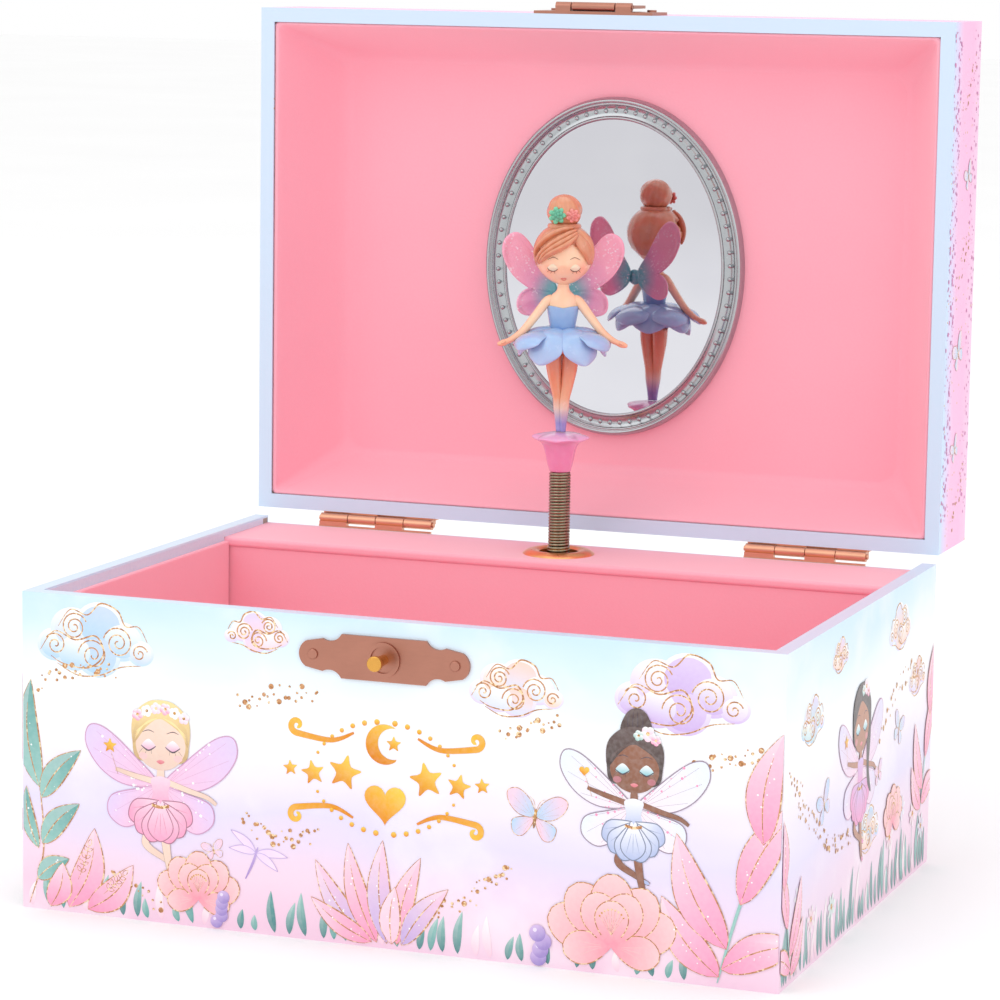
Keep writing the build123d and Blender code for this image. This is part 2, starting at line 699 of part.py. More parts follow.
# Heights on the doll are counted from the top of the spring.
skirt_low = spring_top + 21.5
skirt_wide = spring_top + 24.5
waist = spring_top + 29.5
neck = spring_top + 38.0
head_middle = spring_top + 45.2
head_radius = 6.4
bun_radius = 3.6
skirt_radius = 10.9
legs_top_radius = 3.5
with BuildPart() as doll_figure:
    with BuildSketch(Plane.XZ.offset(-spindle_y)):
        with BuildLine():
            ankle = (spindle_x + 1.5, cup_top - 0.9)
            hip = (spindle_x + legs_top_radius, skirt_low + 1.0)
            hem = (spindle_x + skirt_radius, skirt_wide - 1.0)
            Line((spindle_x, cup_top - 0.9), ankle)
            Line(ankle, hip)
            Line(hip, hem)
            Spline(hem, (spindle_x + skirt_radius * 0.72, skirt_wide + 1.6), (spindle_x + 3.0, waist))
            Line((spindle_x + 3.0, waist), (spindle_x + 3.6, waist + 5.0))
            Line((spindle_x + 3.6, waist + 5.0), (spindle_x + 1.4, neck))
            Line((spindle_x + 1.4, neck), (spindle_x + 1.4, neck + 2.0))
            Line((spindle_x + 1.4, neck + 2.0), (spindle_x, neck + 2.0))
            Line((spindle_x, neck + 2.0), (spindle_x, cup_top - 0.9))
        make_face()
    revolve(axis=doll_axis)
    with Locations((spindle_x, spindle_y, head_middle)):
        Sphere(head_radius)
    with Locations((spindle_x, spindle_y, spring_top + doll_height - bun_radius)):
        Sphere(bun_radius)
    for side in (-1, 1):
        shoulder_at = on_doll(side * 3.2, 0, neck - 2.4)
        elbow_at = on_doll(side * 8.4, -0.8, skirt_wide + 5.2)
        hand_at = on_doll(side * 12.8, -1.6, skirt_wide + 2.4)
        rod(shoulder_at, elbow_at, 1.0)
        rod(elbow_at, hand_at, 0.9)
        with Locations(shoulder_at, elbow_at):
            Sphere(1.0)
        with Locations(hand_at):
            Sphere(1.1)
doll_figure.part.label = "doll_figure"
export_step(doll_figure.part, "parts/doll_figure.step")

# Four petal wings joined by a small block on the doll's back.
wing_thickness = 0.8
wing_back = 7.0
wing_height = waist + 4.6
doll_right = (doll_cos, doll_sin, 0)
doll_back = (-doll_sin, doll_cos, 0)
back_plane = Plane(on_doll(0, wing_back, wing_height), x_dir=doll_right, z_dir=doll_back)
with BuildPart() as doll_wings:
    with BuildSketch(back_plane):
        for side in (-1, 1):
            with Locations(Location((side * 7.4, -7.0), side * 42)):
                Ellipse(4.3, 9.0)
            with Locations(Location((side * 6.2, 3.2), side * -52)):
                Ellipse(3.4, 6.6)
        Rectangle(5.0, 5.0)
    extrude(amount=wing_thickness)
    with BuildSketch(Plane(on_doll(0, 3.0, wing_height), x_dir=doll_right, z_dir=doll_back)) as root:
        Rectangle(3.2, 3.2)
    extrude(root.sketch, amount=wing_back - 3.0)
    split(bisect_by=Plane.XY.offset(skirt_wide + 6.0), keep=Keep.TOP)
doll_wings.part.label = "doll_wings"
export_step(doll_wings.part, "parts/doll_wings.step")

# ================= Music movement =================
train_x = spindle_x - 13.0
fly_x = train_x - 5.5
lay_y = axis_y - 3.5
train_radius = train_teeth * train_module / 2
lay_radius = layshaft_teeth * train_module / 2
lay_z = axis_z - sqrt((train_radius + lay_radius) ** 2 - (axis_y - lay_y) ** 2)
fly_y = lay_y + worm_wheel_radius + worm_radius + 0.1
pinion_x = spindle_x + crown_radius
drum_radius = barrel_wheel_radius - 2.2
wheel_face = axis_y + pinion_radius + 1.0  # face that the barrel's teeth stand on
drum_front = divider_back + 2.2

with BuildPart() as movement_bedplate:
    block((bed_left, bed_right), (bed_front, board_back), (bed_low, bed_high))
    fillet(movement_bedplate.edges().filter_by(Axis.Y), 2.0)
    rod((barrel_x, bed_front, axis_z), (barrel_x, board_back, axis_z), key_bore, Mode.SUBTRACT)
    for x, z in bed_screws:
        rod((x, bed_front, z), (x, board_back, z), screw_radius, Mode.SUBTRACT)
movement_bedplate.part.label = "movement_bedplate"
export_step(movement_bedplate.part, "parts/movement_bedplate.step")

arbor_bore = arbor_radius + running_fit
spindle_bore = spindle_radius + running_fit
with BuildPart() as movement_brackets:
    # cheeks that carry the cylinder's arbor
    for x in (cylinder_left - cheek_clear - cheek, cylinder_right + cheek_clear):
        block((x, x + cheek), (axis_y - 3, bed_front), (axis_z - 4, axis_z + 3))
        rod((x, axis_y, axis_z), (x + cheek, axis_y, axis_z), arbor_bore, Mode.SUBTRACT)
    # cheeks that carry the layshaft; the right one also carries the arbor
    for x, top in ((train_x + 2.3, axis_z + 3), (fly_x - 5.5, lay_z + 3)):
        block((x, x + cheek), (lay_y - 2.5, bed_front), (lay_z - 3, top))
        rod((x, lay_y, lay_z), (x + cheek, lay_y, lay_z), arbor_bore, Mode.SUBTRACT)
        if top > axis_z:
            rod((x, axis_y, axis_z), (x + cheek, axis_y, axis_z), arbor_bore, Mode.SUBTRACT)
    # arms that carry the governor's shaft
    for low in (bed_low, axis_z + 8.5):
        block((fly_x - 2, fly_x + 2), (fly_y - 1.8, bed_front), (low, low + 1.5))
        rod((fly_x, fly_y, low), (fly_x, fly_y, low + 1.5), fly_shaft + running_fit, Mode.SUBTRACT)
    # arm and long bush for the spindle
    block((spindle_x - 3, spindle_x + 3), (spindle_y - 3, bed_front), (axis_z + 12, axis_z + 17))
    rod(
        (spindle_x, spindle_y, axis_z + 12),
        (spindle_x, spindle_y, axis_z + 17),
        spindle_bore,
        Mode.SUBTRACT,
    )
movement_brackets.part.label = "movement_brackets"
export_step(movement_brackets.part, "parts/movement_brackets.step")

comb_tip = axis_z + cylinder_radius + 0.65
comb_top = bed_high - 1.0
comb_bed_low = comb_top - 5.0
comb_screw_x = [cylinder_left + cylinder_length * share for share in (0.2, 0.8)]
comb_screw_z = (comb_bed_low + comb_top) / 2
comb_back = axis_y + comb_thickness / 2
with BuildPart() as comb_bed:
    block((cylinder_left, cylinder_right), (comb_back, bed_front), (comb_bed_low, comb_top))
    for x in comb_screw_x:
        rod((x, comb_back, comb_screw_z), (x, comb_back + 4, comb_screw_z), screw_radius, Mode.SUBTRACT)
comb_bed.part.label = "comb_bed"
export_step(comb_bed.part, "parts/comb_bed.step")

# The bass teeth, at the left, are the longest.
with BuildPart() as music_comb:
    block(
        (cylinder_left, cylinder_right),
        (comb_back - comb_thickness, comb_back),
        (comb_tip, comb_top),
    )
    pitch = cylinder_length / comb_teeth
    for number in range(1, comb_teeth):
        middle = cylinder_left + number * pitch
        root = comb_bed_low - 0.6 - 3.0 * number / comb_teeth
        block(
            (middle - 0.12, middle + 0.12),
            (comb_back - comb_thickness, comb_back),
            (comb_tip, root),
            Mode.SUBTRACT,
        )
    for x in comb_screw_x:
        rod(
            (x, comb_back - comb_thickness, comb_screw_z),
            (x, comb_back, comb_screw_z),
            screw_radius,
            Mode.SUBTRACT,
        )
music_comb.part.label = "music_comb"
export_step(music_comb.part, "parts/music_comb.step")

with BuildPart() as comb_screws:
    head_back = comb_back - comb_thickness
    head_front = head_back - screw_head
    for x in comb_screw_x:
        rod((x, head_back, comb_screw_z), (x, comb_back + 4, comb_screw_z), screw_radius)
        rod((x, head_front, comb_screw_z), (x, head_back, comb_screw_z), screw_head_radius)
        block(
            (x - screw_head_radius, x + screw_head_radius),
            (head_front, head_front + slot_depth),
            (comb_screw_z - screw_slot / 2, comb_screw_z + screw_slot / 2),
            Mode.SUBTRACT,
        )
comb_screws.part.label = "comb_screws"
export_step(comb_screws.part, "parts/comb_screws.step")

with BuildPart() as movement_screws:
    for x, z in bed_screws:
        rod((x, bed_front, z), (x, half_d, z), screw_radius)
        rod((x, half_d, z), (x, half_d + screw_head, z), screw_head_radius)
        block(
            (x - screw_head_radius, x + screw_head_radius),
            (half_d + screw_head - slot_depth, half_d + screw_head),
            (z - screw_slot / 2, z + screw_slot / 2),
            Mode.SUBTRACT,
        )
movement_screws.part.label = "movement_screws"
export_step(movement_screws.part, "parts/movement_screws.step")

# Barrel: a drum open at the front, with a ring of teeth on its flange that drives the cylinder.
with BuildPart() as mainspring_barrel:
    with BuildSketch(Plane((barrel_x, drum_front, axis_z), x_dir=(1, 0, 0), z_dir=(0, 1, 0))):
        Circle(drum_radius)
    extrude(amount=wheel_face + flange - drum_front)
    with BuildSketch(Plane((barrel_x, wheel_face, axis_z), x_dir=(1, 0, 0), z_dir=(0, 1, 0))):
        Circle(barrel_wheel_radius + 1.0)
    extrude(amount=flange)
    with BuildSketch(Plane((barrel_x, wheel_face, axis_z), x_dir=(1, 0, 0), z_dir=(0, -1, 0))):
        with PolarLocations(barrel_wheel_radius, barrel_teeth):
            Rectangle(1.7, stud_thick)
    extrude(amount=tooth_height, taper=6)
    with BuildSketch(Plane((barrel_x, drum_front, axis_z), x_dir=(1, 0, 0), z_dir=(0, 1, 0))):
        Circle(drum_radius - drum_wall)
    extrude(amount=wheel_face - drum_front, mode=Mode.SUBTRACT)
    rod(
        (barrel_x, drum_front, axis_z),
        (barrel_x, wheel_face + flange, axis_z),
        key_shaft_radius + running_fit,
        Mode.SUBTRACT,
    )
mainspring_barrel.part.label = "mainspring_barrel"
export_step(mainspring_barrel.part, "parts/mainspring_barrel.step")

with BuildPart() as barrel_cover:
    with BuildSketch(Plane((barrel_x, drum_front, axis_z), x_dir=(1, 0, 0), z_dir=(0, -1, 0))):
        Circle(drum_radius)
        Circle(key_shaft_radius + running_fit, mode=Mode.SUBTRACT)
    extrude(amount=0.6)
barrel_cover.part.label = "barrel_cover"
export_step(barrel_cover.part, "parts/barrel_cover.step")

# The mainspring is a flat strip in half turns that grow outwards.
strip = 0.3
spiral_pitch = 0.75
spiral_turns = 5
with BuildPart() as mainspring:
    middle_y = (drum_front + wheel_face) / 2
    with BuildSketch(Plane((barrel_x, middle_y, axis_z), x_dir=(1, 0, 0), z_dir=(0, 1, 0))):
        with BuildLine():
            radius = key_shaft_radius + 0.6
            centre = 0.0
            for half in range(2 * spiral_turns):
                way = 1 if half % 2 == 0 else -1
                ThreePointArc(
                    (centre - way * radius, 0), (centre, way * radius), (centre + way * radius, 0)
                )
                centre = centre - way * spiral_pitch / 4
                radius = radius + spiral_pitch / 4
        trace(line_width=strip)
    extrude(amount=(wheel_face - drum_front) / 2 - 0.5, both=True)
mainspring.part.label = "mainspring"
export_step(mainspring.part, "parts/mainspring.step")

key_root = half_d + 1.2
with BuildPart() as winding_arbor:
    rod((barrel_x, drum_front - 0.9, axis_z), (barrel_x, key_root + 6.0, axis_z), key_shaft_radius)
winding_arbor.part.label = "winding_arbor"
export_step(winding_arbor.part, "parts/winding_arbor.step")

# Butterfly key: a sleeve with two flat wings.
with BuildPart() as winding_key:
    with BuildSketch(Plane.XY.offset(axis_z - 0.8)):
        for side in (-1, 1):
            with Locations((barrel_x + side * key_wing * 0.62, key_root + 8.0)):
                Circle(key_wing * 0.42)
                Circle(key_wing * 0.16, mode=Mode.SUBTRACT)
        with Locations((barrel_x, key_root + 6.2)):
            Rectangle(key_wing * 0.7, 5.0)
    extrude(amount=1.6)
    rod((barrel_x, key_root, axis_z), (barrel_x, key_root + 8.0, axis_z), key_shaft_radius + 1.2)
    rod((barrel_x, key_root, axis_z), (barrel_x, key_root + 6.0, axis_z), key_shaft_radius, Mode.SUBTRACT)
winding_key.part.label = "winding_key"
export_step(winding_key.part, "parts/winding_key.step")

# Pinned cylinder: the pins are set out by a rule, a few on each track.
with BuildPart() as music_cylinder:
    rod((cylinder_left, axis_y, axis_z), (cylinder_right, axis_y, axis_z), cylinder_radius)
    rod((cylinder_left, axis_y, axis_z), (cylinder_right, axis_y, axis_z), arbor_radius, Mode.SUBTRACT)
    for track in range(comb_teeth):
        x = cylinder_left + (track + 0.5) * cylinder_length / comb_teeth
        for note in range(3):
            angle = radians(17 + 120 * note + 47 * track % 360 + 13 * note * (track % 3))
            tip = cylinder_radius + 0.5
            rod(
                (x, axis_y + (cylinder_radius - 0.4) * cos(angle), axis_z + (cylinder_radius - 0.4) * sin(angle)),
                (x, axis_y + tip * cos(angle), axis_z + tip * sin(angle)),
                0.18,
            )
music_cylinder.part.label = "music_cylinder"
export_step(music_cylinder.part, "parts/music_cylinder.step")

arbor_left = train_x - 1.5
arbor_right = barrel_pinion_x + 1.0
with BuildPart() as cylinder_arbor:
    rod((arbor_left, axis_y, axis_z), (arbor_right, axis_y, axis_z), arbor_radius)
cylinder_arbor.part.label = "cylinder_arbor"
export_step(cylinder_arbor.part, "parts/cylinder_arbor.step")

# The first tooth of each wheel is turned to stand in a gap of the wheel that it meets.
pinion_thick = 0.78
pinion_height = 1.1
with BuildPart() as cylinder_gears:
    half_tooth = 180 / pinion_teeth
    for x, turn in ((pinion_x, half_tooth), (barrel_pinion_x, half_tooth - 90)):
        start = Plane((x - tooth_face / 2, axis_y, axis_z), x_dir=(0, 0, 1), z_dir=(1, 0, 0))
        with BuildSketch(start.rotated((turn, 0, 0))):
            toothed_outline(pinion_teeth, pinion_radius, pinion_height, pinion_thick)
            Circle(arbor_radius, mode=Mode.SUBTRACT)
        extrude(amount=tooth_face)
    lay_angle = degrees(atan2(lay_y - axis_y, lay_z - axis_z))
    start = Plane((train_x - 0.8, axis_y, axis_z), x_dir=(0, 0, 1), z_dir=(1, 0, 0))
    with BuildSketch(start.rotated((-lay_angle, 0, 0))):
        toothed_outline(train_teeth, train_radius, 0.9, 0.55)
        Circle(arbor_radius, mode=Mode.SUBTRACT)
    extrude(amount=1.6)
cylinder_gears.part.label = "cylinder_gears"
export_step(cylinder_gears.part, "parts/cylinder_gears.step")

with BuildPart() as layshaft:
    start = Plane((train_x - 0.8, lay_y, lay_z), x_dir=(0, 0, 1), z_dir=(1, 0, 0))
    with BuildSketch(start.rotated((180 - lay_angle + 180 / layshaft_teeth, 0, 0))):
        toothed_outline(layshaft_teeth, lay_radius, 0.9, 0.55)
    extrude(amount=1.6)
    with BuildSketch(Plane((fly_x - 0.7, lay_y, lay_z), x_dir=(0, 0, 1), z_dir=(1, 0, 0))):
        toothed_outline(16, worm_wheel_radius - 0.45, 0.9, 0.6)
    extrude(amount=1.4)
    rod((fly_x - 6.0, lay_y, lay_z), (train_x + 3.8, lay_y, lay_z), arbor_radius)
layshaft.part.label = "layshaft"
export_step(layshaft.part, "parts/layshaft.step")

# Governor: a worm on a thin shaft with two air-brake blades.
fly_top = bed_high - 3.0
fly_low = axis_z + 11.0
with BuildPart() as governor_fly:
    rod((fly_x, fly_y, bed_low), (fly_x, fly_y, fly_top), fly_shaft)
    rod((fly_x, fly_y, lay_z - 4), (fly_x, fly_y, lay_z + 4), worm_radius)
    rod((fly_x, fly_y, fly_low), (fly_x, fly_y, fly_top), 1.0)
    block((fly_x - fly_radius, fly_x + fly_radius), (fly_y - 0.3, fly_y + 0.3), (fly_low, fly_top))
governor_fly.part.label = "governor_fly"
export_step(governor_fly.part, "parts/governor_fly.step")

# Crown wheel under the spindle, with teeth that point down into the cylinder's left pinion.
crown_face = axis_z + pinion_radius + 1.0
with BuildPart() as crown_wheel:
    with BuildSketch(Plane((spindle_x, spindle_y, crown_face))):
        Circle(crown_radius + crown_rim)
        Circle(spindle_radius, mode=Mode.SUBTRACT)
    extrude(amount=crown_thick)
    down = Plane((spindle_x, spindle_y, crown_face), x_dir=(1, 0, 0), z_dir=(0, 0, -1))
    with BuildSketch(down):
        with PolarLocations(crown_radius, crown_teeth):
            Rectangle(1.5, stud_thick)
    extrude(amount=tooth_height, taper=6)
crown_wheel.part.label = "crown_wheel"
export_step(crown_wheel.part, "parts/crown_wheel.step")

with BuildPart() as spindle:
    top = spring_base - segment_gap / 2
    rod((spindle_x, spindle_y, crown_face), (spindle_x, spindle_y, top), spindle_radius)
    rod((spindle_x, spindle_y, cover_bottom), (spindle_x, spindle_y, top), spring_radius)
spindle.part.label = "spindle"
export_step(spindle.part, "parts/spindle.step")

# Stop wire: the closing lid presses its top, and its foot comes down to the governor.
stop_top = base_height + 3.0
stop_bend = bed_high + 4.0
stop_foot = (fly_x + 3.5, fly_y + 1.5)
with BuildPart() as stop_wire:
    with BuildLine() as stop_path:
        FilletPolyline(
            (stop_x, stop_y, stop_top),
            (stop_x, stop_y, stop_bend),
            (stop_foot[0], stop_foot[1], stop_bend),
            (stop_foot[0], stop_foot[1], fly_top + stop_travel + 0.3),
            radius=1.2,
        )
    with BuildSketch(Plane((stop_x, stop_y, stop_top), z_dir=(0, 0, -1))):
        Circle(stop_radius)
    sweep(path=stop_path.line)
stop_wire.part.label = "stop_wire"
export_step(stop_wire.part, "parts/stop_wire.step")
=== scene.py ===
import math
import random

import bmesh
import bpy
from mathutils import Matrix, Vector
from mathutils.geometry import tessellate_polygon


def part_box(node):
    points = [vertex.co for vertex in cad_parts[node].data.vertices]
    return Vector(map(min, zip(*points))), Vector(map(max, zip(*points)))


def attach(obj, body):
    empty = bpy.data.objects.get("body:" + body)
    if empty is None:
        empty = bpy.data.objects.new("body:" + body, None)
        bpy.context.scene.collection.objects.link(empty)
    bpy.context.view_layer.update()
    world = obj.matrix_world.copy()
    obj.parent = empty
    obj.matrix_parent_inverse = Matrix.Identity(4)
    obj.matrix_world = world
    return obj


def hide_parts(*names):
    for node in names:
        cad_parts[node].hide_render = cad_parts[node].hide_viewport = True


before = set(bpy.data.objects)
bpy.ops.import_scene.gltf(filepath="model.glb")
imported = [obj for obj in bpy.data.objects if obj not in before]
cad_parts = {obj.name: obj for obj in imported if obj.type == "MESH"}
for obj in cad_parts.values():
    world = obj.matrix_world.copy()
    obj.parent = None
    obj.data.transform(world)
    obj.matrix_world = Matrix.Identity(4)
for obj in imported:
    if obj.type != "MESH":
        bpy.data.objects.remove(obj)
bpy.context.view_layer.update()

MM = 0.001
TAU = 2 * math.pi


# ---------------------------------------------------------------- shader maths
class Wire:
    """A shader value that can be written into Python expressions."""

    def __init__(self, paint, socket):
        self.paint = paint
        self.socket = socket

    def maths(self, operation, *others):
        values = {number: value for number, value in enumerate(others, 1)}
        return self.paint.add("ShaderNodeMath", {"operation": operation}, {0: self, **values})

    def __add__(self, other):
        return self.maths("ADD", other)

    __radd__ = __add__

    def __sub__(self, other):
        return self.maths("SUBTRACT", other)

    def __rsub__(self, other):
        return self.paint.add("ShaderNodeMath", {"operation": "SUBTRACT"}, {0: other, 1: self})

    def __mul__(self, other):
        return self.maths("MULTIPLY", other)

    __rmul__ = __mul__

    def __truediv__(self, other):
        return self.maths("DIVIDE", other)

    def __rtruediv__(self, other):
        return self.paint.add("ShaderNodeMath", {"operation": "DIVIDE"}, {0: other, 1: self})

    def __pow__(self, other):
        return self.maths("POWER", other)

    def __gt__(self, other):
        return self.maths("GREATER_THAN", other)

    def __lt__(self, other):
        return self.maths("LESS_THAN", other)

    def smooth(self, low, high):
        """0 below low, 1 above high, with a soft step between."""
        return self.paint.add(
            "ShaderNodeMapRange",
            {"interpolation_type": "SMOOTHSTEP"},
            {"Value": self, "From Min": low, "From Max": high},
            "Result",
        )


class Paint:
    """A material under construction."""

    def __init__(self, name, roughness=0.5, metallic=0.0, **shader):
        self.material = bpy.data.materials.new(name)
        self.material.use_nodes = True
        self.nodes = self.material.node_tree.nodes
        self.links = self.material.node_tree.links
        self.shader = self.nodes["Principled BSDF"]
        self.set("Roughness", roughness)
        self.set("Metallic", metallic)
        for key, value in shader.items():
            self.set(key.replace("_", " "), value)

    def add(self, kind, settings=None, inputs=None, output=0):
        """One node: its settings first, then the values or links of its sockets."""
        node = self.nodes.new(kind)
        for key, value in (settings or {}).items():
            if key == "stops":
                ramp = node.color_ramp.elements
                while len(ramp) < len(value):
                    ramp.new(1.0)
                for element, (place, colour) in zip(ramp, value):
                    element.position = place
                    element.color = (*colour, 1.0)
            else:
                setattr(node, key, value)
        for key, value in (inputs or {}).items():
            self.join(node.inputs[key], value)
        return Wire(self, node.outputs[output])

    def join(self, socket, value):
        if isinstance(value, Wire):
            self.links.new(value.socket, socket)
        elif isinstance(value, tuple) and len(value) == 3 and socket.type == "RGBA":
            socket.default_value = (*value, 1.0)
        else:
            socket.default_value = value

    def set(self, name, value):
        self.join(self.shader.inputs[name], value)
        return self

    def place(self):
        """Position in the object's own frame, in metres."""
        return self.add("ShaderNodeTexCoord", output="Object")

    def axis(self, number):
        return self.add("ShaderNodeSeparateXYZ", inputs={0: self.place()}, output=number)

    def facing(self, number):
        """The surface normal's part along one axis."""
        normal = self.add("ShaderNodeNewGeometry", output="Normal")
        return self.add("ShaderNodeSeparateXYZ", inputs={0: normal}, output=number)

    def noise(self, size, detail=2.0, stretch=(1, 1, 1), roughness=0.5):
        """Noise whose grains are about size metres across."""
        scaled = self.add(
            "ShaderNodeVectorMath",
            {"operation": "MULTIPLY"},
            {0: self.place(), 1: tuple(share / size for share in stretch)},
        )
        return self.add(
            "ShaderNodeTexNoise", inputs={
                "Vector": scaled, "Scale": 1.0, "Detail": detail, "Roughness": roughness
            }
        )

    def cells(self, size, output="Distance"):
        return self.add(
            "ShaderNodeTexVoronoi", inputs={"Vector": self.place(), "Scale": 1.0 / size}, output=output
        )

    def mix(self, share, first, second):
        """Colours mixed by a share from 0 to 1."""
        return self.add(
            "ShaderNodeMix",
            {"data_type": "RGBA"},
            {0: share, 6: first, 7: second},
            2,
        )

    def ramp(self, share, stops, mode="LINEAR"):
        node = self.add("ShaderNodeValToRGB", {"stops": stops}, {0: share})
        node.socket.node.color_ramp.interpolation = mode
        return node

    def bump(self, height, distance, strength=1.0):
        """Relief with a depth in metres."""
        bumped = self.add(
            "ShaderNodeBump", inputs={"Height": height, "Distance": distance, "Strength": strength}
        )
        return self.set("Normal", bumped)

    def attribute(self, name):
        return self.add("ShaderNodeVertexColor", {"layer_name": name})


def srgb(red, green, blue):
    """A colour given in display values of 0 to 255, as the linear values that shaders use."""
    def linear(value):
        value = value / 255
        return value / 12.92 if value <= 0.04045 else ((value + 0.055) / 1.055) ** 2.4

    return linear(red), linear(green), linear(blue)


# ---------------------------------------------------------------- colours
RIM_BLUE = srgb(206, 226, 246)
LILAC = srgb(226, 212, 244)
ROSE_GOLD = srgb(186, 130, 112)
GOLD = srgb(214, 158, 74)
WHITE = (0.95, 0.95, 0.95)


# ---------------------------------------------------------------- materials
def lining_paper():
    """Pink velvety paper over thin padding."""
    paint = Paint("lining_paper", roughness=0.82, Sheen_Weight=0.35, Sheen_Roughness=0.5)
    fibre = paint.noise(0.0005, 3.0)
    cloud = paint.noise(0.03, 2.0)
    tone = paint.mix(cloud, srgb(252, 168, 186), srgb(255, 178, 194))
    paint.set("Base Color", paint.mix(fibre * 0.25, tone, srgb(255, 204, 214)))
    paint.bump(fibre + cloud * 0.5, 0.00006, 0.5)
    return paint.material


def front_paper(box_low, box_high):
    """Printed paper of the base: pale blue at the top, white, lilac and pink at the bottom, and blue rims."""
    paint = Paint("base_paper", roughness=0.34, Coat_Weight=0.25, Coat_Roughness=0.25)
    height = (paint.axis(2) - box_low) / (box_high - box_low)
    drift = paint.noise(0.035, 3.0, stretch=(0.6, 0.6, 1.6))
    share = height + (drift - 0.5) * 0.34
    sky = paint.ramp(
        share,
        [
            (0.0, srgb(242, 205, 226)),
            (0.16, srgb(246, 216, 234)),
            (0.34, srgb(228, 220, 246)),
            (0.52, srgb(247, 240, 250)),
            (0.7, srgb(250, 252, 255)),
            (0.86, srgb(226, 243, 254)),
            (1.0, srgb(204, 232, 251)),
        ],
    )
    mist = paint.noise(0.022, 4.0).smooth(0.5, 0.72)
    sky = paint.mix(mist * 0.4, sky, srgb(252, 250, 255))
    rim = paint.facing(2) > 0.6
    paint.set("Base Color", paint.mix(rim, sky, RIM_BLUE))
    paint.bump(paint.noise(0.0004, 2.0), 0.00001, 0.4)
    return paint.material


def rim_paper():
    """The plain pale blue paper that turns over the rims."""
    paint = Paint("rim_paper", roughness=0.4)
    fibre = paint.noise(0.0008, 3.0)
    paint.set("Base Color", paint.mix(fibre, RIM_BLUE, srgb(222, 236, 250)))
    paint.bump(fibre, 0.00001, 0.4)
    return paint.material


def lid_paper(open_y, depth):
    """Printed paper of the lid: pink with a pale blue band near the mouth and gold and plum specks."""
    paint = Paint("lid_paper", roughness=0.34, Coat_Weight=0.25, Coat_Roughness=0.25)
    away = (paint.axis(1) - open_y) / depth
    drift = paint.noise(0.03, 3.0)
    share = away + (drift - 0.5) * 0.35
    tint = paint.ramp(
        share,
        [
            (0.0, srgb(198, 222, 250)),
            (0.16, srgb(226, 205, 244)),
            (0.34, srgb(250, 182, 224)),
            (0.7, srgb(252, 178, 222)),
            (1.0, srgb(246, 196, 230)),
        ],
    )
    speck = (paint.cells(0.0017) < 0.15) * (paint.noise(0.006, 1.0) > 0.5)
    hue = paint.cells(0.0017, "Color")
    gold = paint.add("ShaderNodeSeparateColor", inputs={0: hue}, output=0) > 0.6
    ink = paint.mix(gold, srgb(150, 70, 120), srgb(214, 150, 90))
    tint = paint.mix(speck, tint, ink)
    rim = paint.facing(1) < -0.6
    paint.set("Base Color", paint.mix(rim, tint, RIM_BLUE))
    paint.bump(paint.noise(0.0004, 2.0), 0.00001, 0.4)
    return paint.material


def metal(name, colour, roughness, brushed=(1, 1, 1), wear=0.1, **shader):
    """A plated metal with fine brushing and slight cloudiness."""
    paint = Paint(name, metallic=1.0, **shader)
    grain = paint.noise(0.0006, 3.0, stretch=brushed)
    cloud = paint.noise(0.006, 3.0)
    dark = tuple(value * (1 - 2.2 * wear) for value in colour)
    light = tuple(min(1.0, value * (1 + wear)) for value in colour)
    paint.set("Base Color", paint.mix(cloud * 0.6 + grain * 0.4, dark, light))
    paint.set("Roughness", roughness + (grain - 0.5) * 0.16)
    paint.bump(grain, 0.00001, 0.35)
    return paint.material


def tinted(name, roughness=0.4, metallic=0.0, glitter=0.0, **shader):
    """Takes its colour from the mesh's own tint layer, with faint pigment grain and, if asked, glitter."""
    paint = Paint(name, metallic=metallic, **shader)
    tint = paint.attribute("tint")
    pigment = paint.noise(0.0008, 3.0)
    colour = paint.mix((pigment - 0.35) * 0.22, tint, WHITE)
    if glitter:
        flake = paint.cells(0.00042, "Color")
        bright = paint.add("ShaderNodeSeparateColor", inputs={0: flake}, output=0)
        colour = paint.mix((bright > 0.72) * glitter, colour, srgb(255, 236, 190))
        colour = paint.mix((bright < 0.22) * glitter * 0.8, colour, srgb(150, 92, 50))
        paint.set("Roughness", roughness + bright * 0.25)
    else:
        paint.set("Roughness", roughness + (pigment - 0.5) * 0.1)
    paint.set("Base Color", colour)
    paint.bump(pigment, 0.00001, 0.3)
    return paint.material


def board_face():
    """Raw greyboard with flecks."""
    paint = Paint("greyboard", roughness=0.9)
    fleck = paint.noise(0.0007, 4.0)
    paint.set("Base Color", paint.mix(fleck, srgb(150, 140, 128), srgb(182, 172, 158)))
    paint.bump(fleck, 0.00005, 0.6)
    return paint.material


def looking_glass():
    """Silvered glass that is pale and slightly soft."""
    paint = Paint("looking_glass", metallic=1.0)
    haze = paint.noise(0.02, 2.0)
    paint.set("Base Color", paint.mix(haze, srgb(205, 205, 212), srgb(216, 216, 221)))
    paint.set("Roughness", 0.015 + haze * 0.02)
    return paint.material


